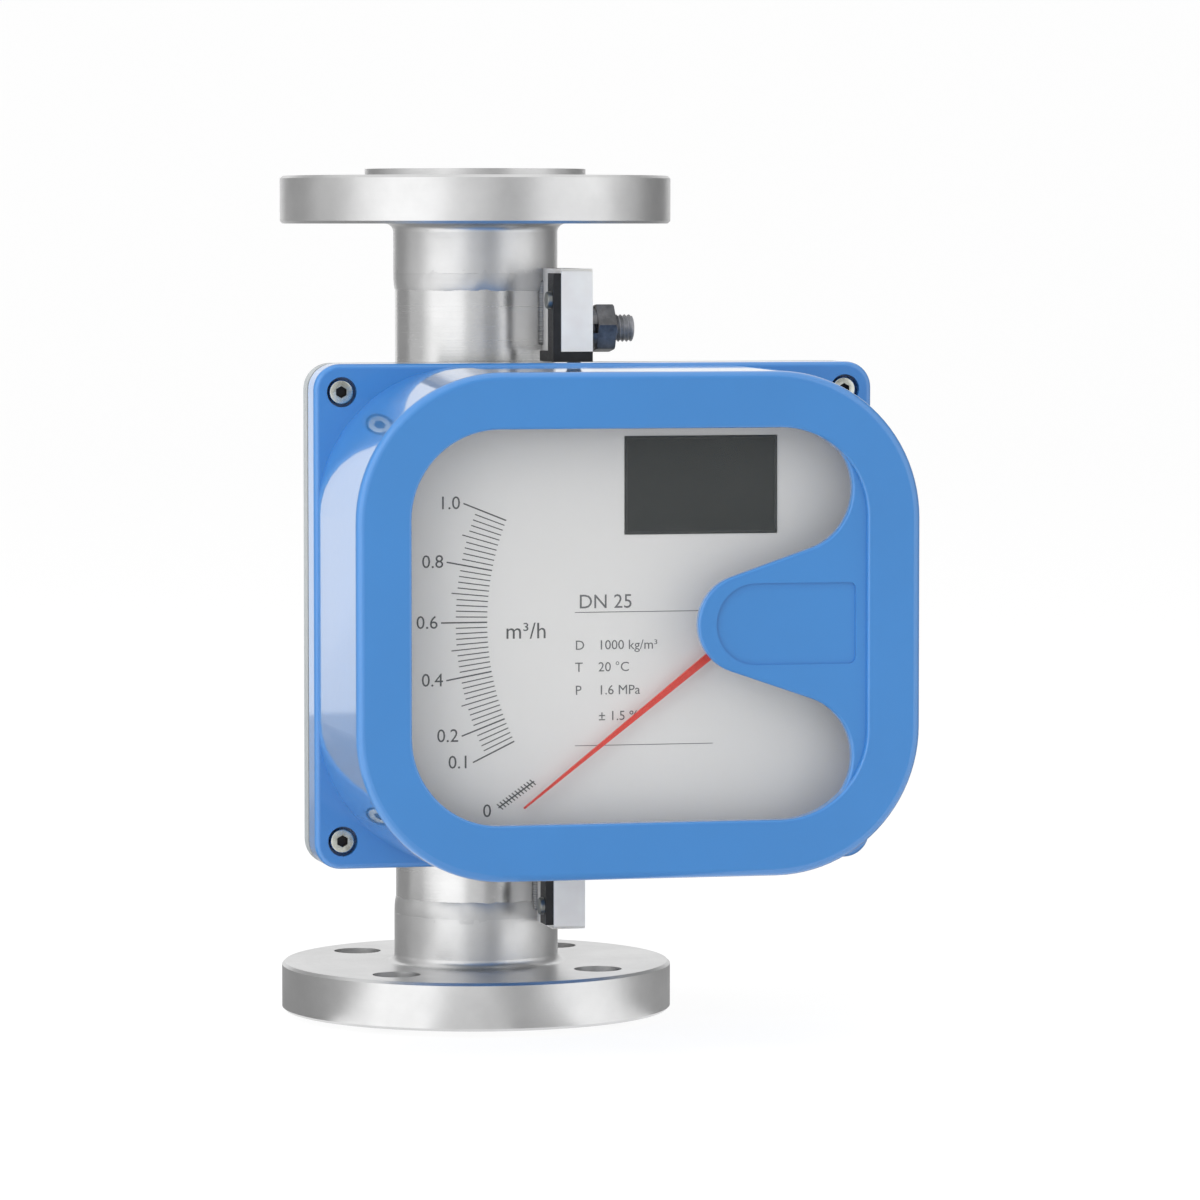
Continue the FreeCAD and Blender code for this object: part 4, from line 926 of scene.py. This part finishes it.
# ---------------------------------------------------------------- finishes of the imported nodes
def build_materials(settings):
    """Every finish of the meter, by its name."""
    steel = tuple(settings.steel)
    turned_steel("flange_steel", steel, settings.line_pitch, 0.30, 0.9)
    turned_steel("drawn_tube", tinted(steel, 0.98), settings.line_pitch * 1.4, 0.24, 0.35)
    # The weld bead is darkened to about half the steel's colour as painted shade where the lugs meet the
    # tube.
    turned_steel("weld_bead", tinted(steel, 0.55), settings.line_pitch * 3.0, 0.42, 0.8)
    turned_steel("seam_steel", tinted(steel, 0.94), settings.line_pitch * 3.0, 0.34, 0.8)
    polished_steel("ground_float", (0.66, 0.66, 0.67), 0.16)
    polished_steel("turned_guide", (0.58, 0.58, 0.59), 0.28)
    polished_steel("bright_spring", (0.48, 0.48, 0.50), 0.24)
    polished_steel("mill_aluminium", (0.74, 0.75, 0.76), 0.34)
    ground_steel("ground_upper_lug", tuple(settings.lug_steel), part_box("upper_lug")[0].x)
    ground_steel("ground_lower_lug", tuple(settings.lug_steel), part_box("lower_lug")[0].x)
    dark_steel("phosphated_steel", tinted(settings.dark_steel, 2.3), 0.70, 0.42)
    dark_steel("stud_steel", tinted(settings.dark_steel, 6.5), 0.70, 0.40)
    dark_steel("washer_steel", tinted(settings.dark_steel, 3.0), 0.75, 0.38)
    dark_steel("black_oxide_and_socket_shade", tuple(settings.black_oxide), 0.20, 0.45)
    dark_steel("sintered_magnet", (0.035, 0.035, 0.038), 0.8, 0.46)
    enamel(tuple(settings.enamel), settings.peel)
    sprayed_coat("base_coat", tuple(settings.base_coat), 0.36)
    rubber()
    plated("screw_plate", (0.66, 0.68, 0.62), 0.24)
    plated("aged_zinc", (0.30, 0.31, 0.30), 0.40)
    plated("turned_brass", (0.72, 0.50, 0.20), 0.26)
    clear_glass()
    satin_dial(tuple(settings.dial))
    lacquer("dial_ink", tuple(settings.ink), 0.55)
    lacquer("dial_ink_pale", tinted(settings.ink, 1.6), 0.55)
    lacquer("pointer_lacquer", tuple(settings.pointer), 0.38)
    gloss_plastic("display_pane", (0.016, 0.016, 0.017), 0.16)
    gloss_plastic("shrink_sleeve", (0.020, 0.130, 0.055), 0.22)
    moulded_plastic("display_moulding", (0.022, 0.022, 0.023))
    board_laminate()


FINISHES = {
    "flange_steel": ("inlet_flange", "outlet_flange"),
    "drawn_tube": ("measuring_tube",),
    "turned_guide": ("lower_guide", "upper_guide"),
    "bright_spring": ("lower_ring", "upper_ring", "glass_clips", "battery_clips"),
    "ground_float": ("float_body", "float_cap", "float_rod", "pointer_shaft"),
    "sintered_magnet": ("float_magnet", "follower_magnet", "brake_magnet"),
    "mill_aluminium": ("movement_frame", "follower_arm", "damping_disc"),
    "cover_enamel": ("housing_cover",),
    "base_coat": ("housing_base",),
    "nitrile_rubber": ("housing_gasket", "window_gasket"),
    "screw_plate": ("cover_screws", "clip_screws", "dial_screws", "frame_screws"),
    "aged_zinc": ("leg_screws",),
    "turned_brass": ("dial_pillars", "board_spacers", "frame_posts", "rear_bearing", "front_bearing",
                     "counterweight"),
    "window_glass_clear": ("window_glass",),
    "silver_dial": ("dial_plate",),
    "display_pane": ("display_glass",),
    "display_moulding": ("display_module",),
    "board_laminate": ("circuit_board",),
    "shrink_sleeve": ("battery",),
    "pointer_lacquer": ("pointer",),
    "ground_upper_lug": ("upper_lug",),
    "ground_lower_lug": ("lower_lug",),
    "black_oxide_and_socket_shade": ("upper_angle", "lower_angle", "foot_screws"),
    "phosphated_steel": ("clamp_nut",),
    "stud_steel": ("clamp_stud",),
    "washer_steel": ("spring_washer",),
}


class ROTAMETER_OT_finishes(bpy.types.Operator):
    """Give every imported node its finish"""
    bl_idname = "rotameter.finishes"
    bl_label = "Finishes"

    def execute(self, context):
        build_materials(context.scene.rotameter_finish)
        for name, nodes in FINISHES.items():
            for node in nodes:
                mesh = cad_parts[node].data
                mesh.materials.clear()
                mesh.materials.append(bpy.data.materials[name])
        for node in ("upper_angle", "lower_angle"):
            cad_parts[node].visible_glossy = False
        bare = set(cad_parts) - {node for nodes in FINISHES.values() for node in nodes}
        if bare:
            raise RuntimeError("no finish for %s" % sorted(bare))
        return {"FINISHED"}


# ---------------------------------------------------------------- studio
def seen_directly(material_or_world):
    """1 for camera, mirror and glass rays, else 0."""
    path = add_node(material_or_world, "ShaderNodeLightPath")
    either = blend_values(material_or_world, path.outputs["Is Camera Ray"], path.outputs["Is Glossy Ray"],
                          "MAXIMUM")
    return blend_values(material_or_world, either, path.outputs["Is Transmission Ray"], "MAXIMUM")


def studio_floor(half_size):
    """Pale floor that turns up into a backdrop behind the meter."""
    start()
    bpy.ops.mesh.primitive_plane_add(size=2 * half_size, location=(0.0, 0.0, 0.0))
    floor = bpy.context.object
    pick(floor, "EDGE", lambda centre, edge: centre.y > half_size / 2 and abs(centre.x) < 0.01)
    bpy.ops.mesh.extrude_region_move(TRANSFORM_OT_translate={"value": (0.0, 0.0, half_size)})
    leave_edit()
    bevelled(floor, lambda centre, edge: centre.y > half_size / 2 and abs(centre.z) < 0.01
             and abs(centre.x) < 0.01, half_size / 3, 16)
    smooth(floor, 60.0)
    floor.name = "studio_floor"
    return floor


def floor_material():
    """Matt white that is also plain white where it is seen directly, with the meter's shadow kept."""
    material = new_material("studio_paper", (0.86, 0.86, 0.86), 0.0, 0.9)
    shader = principled(material)
    output = material.node_tree.nodes["Material Output"]
    white = add_node(material, "ShaderNodeEmission", {"Color": (1.0, 1.0, 1.0, 1.0), "Strength": 1.1})
    share = blend_values(material, seen_directly(material), 0.80, "MULTIPLY")
    mix = add_node(material, "ShaderNodeMixShader", {0: share, 1: shader.outputs["BSDF"],
                                                     2: white.outputs["Emission"]})
    material.node_tree.links.new(mix.outputs["Shader"], output.inputs["Surface"])
    return material


def studio_world(room_light):
    world = bpy.data.worlds.new("studio_room")
    world.use_nodes = True
    background = world.node_tree.nodes["Background"]
    background.inputs["Color"].default_value = (1.0, 1.0, 1.0, 1.0)
    direct = seen_directly(world)
    lift = blend_values(world, direct, 1.0 - room_light, "MULTIPLY")
    strength = blend_values(world, lift, room_light, "ADD")
    world.node_tree.links.new(strength, background.inputs["Strength"])
    bpy.context.scene.world = world


def soft_lamp(name, place, width, height, watts):
    """Broad lamp that faces the meter's middle."""
    start()
    bpy.ops.object.light_add(type="AREA", location=place)
    lamp = bpy.context.object
    lamp.name = name
    lamp.data.shape = "RECTANGLE"
    lamp.data.size = width
    lamp.data.size_y = height
    lamp.data.energy = watts
    lamp.visible_glossy = False
    direction = Vector(METER_MIDDLE) - Vector(place)
    lamp.rotation_euler = direction.to_track_quat("-Z", "Y").to_euler()


def reflected_only(card, name, level):
    """Make a card glow evenly for mirror-like rays and hide it from all others."""
    card.name = name
    material = new_material(name + "_card", (0.0, 0.0, 0.0), 0.0, 1.0)
    shader = principled(material)
    shader.inputs["Specular IOR Level"].default_value = 0.0
    shader.inputs["Emission Color"].default_value = (1.0, 1.0, 1.0, 1.0)
    shader.inputs["Emission Strength"].default_value = level
    card.data.materials.append(material)
    card.visible_camera = False
    card.visible_diffuse = False
    card.visible_shadow = False
    card.visible_transmission = False


def floor_card(name, place, width, depth, level):
    """Flat card that lies just above the floor."""
    start()
    bpy.ops.mesh.primitive_plane_add(size=1.0, location=place)
    card = bpy.context.object
    card.scale = (width, depth, 1.0)
    settle(card)
    reflected_only(card, name, level)


def reflection_sector(name, first_deg, last_deg, inner, outer, height, level):
    """Card on the floor from inner to outer radius that then stands up to its height, if it has one.

    It runs between two directions counted from the front towards the right.
    """
    start()
    lift = CARD_LIFT if height > 0.0 else 1.5 * CARD_LIFT
    bpy.ops.mesh.primitive_circle_add(vertices=180, radius=inner, fill_type="NOTHING",
                                      location=(0.0, 0.0, lift))
    sector = bpy.context.object
    settle(sector)

    def outside(co, vertex):
        return not first_deg <= math.degrees(math.atan2(co.x, -co.y)) <= last_deg
    pick(sector, "VERT", outside)
    bpy.ops.mesh.delete(type="VERT")
    bpy.ops.mesh.select_all(action="SELECT")
    bpy.ops.mesh.extrude_region_move()
    bpy.ops.transform.resize(value=(outer / inner, outer / inner, 1.0), center_override=(0.0, 0.0, lift))
    if height > 0.0:
        bpy.ops.mesh.extrude_region_move(TRANSFORM_OT_translate={"value": (0.0, 0.0, height)})
    leave_edit()
    reflected_only(sector, name, level)


METER_MIDDLE = (0.02, -0.05, 0.13)
LAMPS = (
    # name, place, width, height, watts
    ("left_softbox", (-1.72, -0.92, 0.90), 2.2, 1.9, 27.0),
    ("right_softbox", (1.69, -0.98, 0.65), 2.4, 1.9, 5.0),
    ("top_softbox", (0.0, -0.35, 1.70), 1.5, 1.2, 8.0),
)

REFLECTED_SECTORS = (
    # name, first and last direction in degrees, inner and outer radius, height, level
    ("rear_light", -180.0, -164.0, 1.120, 2.3, 2.2, 1.15),
    ("left_rear_flag", -164.0, -120.0, 0.059, 2.3, 2.2, 0.35),
    ("left_side_flag", -120.0, -90.0, 0.059, 2.3, 2.2, 0.65),
    ("left_light", -80.0, -28.0, 0.059, 2.3, 2.2, 1.40),
    ("front_left_flag", -28.0, 0.0, 0.059, 2.3, 2.2, 0.80),
    ("front_right_flag", 0.0, 24.0, 0.059, 2.3, 2.2, 0.42),
    ("right_light", 24.0, 75.0, 0.059, 2.3, 2.2, 1.20),
    ("right_side_flag", 75.0, 97.0, 0.059, 2.3, 2.2, 0.60),
    ("right_rear_flag", 97.0, 140.0, 0.059, 2.3, 2.2, 0.25),
    ("left_near_flag", -140.0, -64.0, 0.059, 0.24, 0.0, 0.30),
    ("right_near_flag", 58.0, 130.0, 0.059, 0.20, 0.0, 0.38),
)


class ROTAMETER_OT_studio(bpy.types.Operator):
    """Set up the floor, the room, the lamps and the camera"""
    bl_idname = "rotameter.studio"
    bl_label = "Studio"

    def execute(self, context):
        studio = context.scene.rotameter_studio
        floor = studio_floor(studio.floor_depth)
        floor.data.materials.append(floor_material())
        studio_world(studio.room_light)
        for lamp in LAMPS:
            soft_lamp(*lamp)
        for sector in REFLECTED_SECTORS:
            reflection_sector(*sector)
        floor_card("rear_floor_flag", (0.0, 0.575, CARD_LIFT / 2), 2.6, 1.05, 0.55)
        self.add_camera(context, studio)
        scene = context.scene
        scene.view_settings.view_transform = "Standard"
        return {"FINISHED"}

    def add_camera(self, context, studio):
        place = (-studio.distance * math.sin(studio.azimuth), -studio.distance * math.cos(studio.azimuth),
                 studio.height)
        start()
        bpy.ops.object.camera_add(location=place,
                                  rotation=(math.pi / 2 - studio.tilt, 0.0, -studio.heading))
        camera = bpy.context.object
        camera.name = "reader_camera"
        camera.data.lens = studio.lens
        camera.data.sensor_width = 36.0
        camera.data.clip_start = 0.05
        camera.data.clip_end = 50.0
        context.scene.camera = camera


# ---------------------------------------------------------------- panel and registration
STEPS = (
    ROTAMETER_OT_finishes,
    ROTAMETER_OT_scale,
    ROTAMETER_OT_numbers,
    ROTAMETER_OT_rest_mark,
    ROTAMETER_OT_data_lines,
    ROTAMETER_OT_display_surround,
    ROTAMETER_OT_window_seal,
    ROTAMETER_OT_stud,
    ROTAMETER_OT_cover_screws,
    ROTAMETER_OT_lug_welds,
    ROTAMETER_OT_seam_welds,
    ROTAMETER_OT_studio,
)

SETTINGS = {
    "rotameter_finish": FinishSettings,
    "rotameter_dial": DialSettings,
    "rotameter_bracket": BracketSettings,
    "rotameter_studio": StudioSettings,
}


class VIEW3D_PT_rotameter(bpy.types.Panel):
    """Steps and sizes of the rotameter"""
    bl_idname = "VIEW3D_PT_rotameter"
    bl_label = "Rotameter"
    bl_space_type = "VIEW_3D"
    bl_region_type = "UI"
    bl_category = "Rotameter"

    def draw(self, context):
        for step in STEPS:
            self.layout.operator(step.bl_idname)
        for attribute, group in SETTINGS.items():
            box = self.layout.box()
            for name in group.__annotations__:
                box.prop(getattr(context.scene, attribute), name)


def register():
    for group in SETTINGS.values():
        bpy.utils.register_class(group)
    for step in STEPS:
        bpy.utils.register_class(step)
    bpy.utils.register_class(VIEW3D_PT_rotameter)
    for attribute, group in SETTINGS.items():
        setattr(bpy.types.Scene, attribute, PointerProperty(type=group))


def unregister():
    for attribute in SETTINGS:
        delattr(bpy.types.Scene, attribute)
    bpy.utils.unregister_class(VIEW3D_PT_rotameter)
    for step in reversed(STEPS):
        bpy.utils.unregister_class(step)
    for group in SETTINGS.values():
        bpy.utils.unregister_class(group)


def main():
    register()
    start()
    for step in STEPS:
        group, name = step.bl_idname.split(".")
        getattr(getattr(bpy.ops, group), name)()


if __name__ == "__main__":
    main()
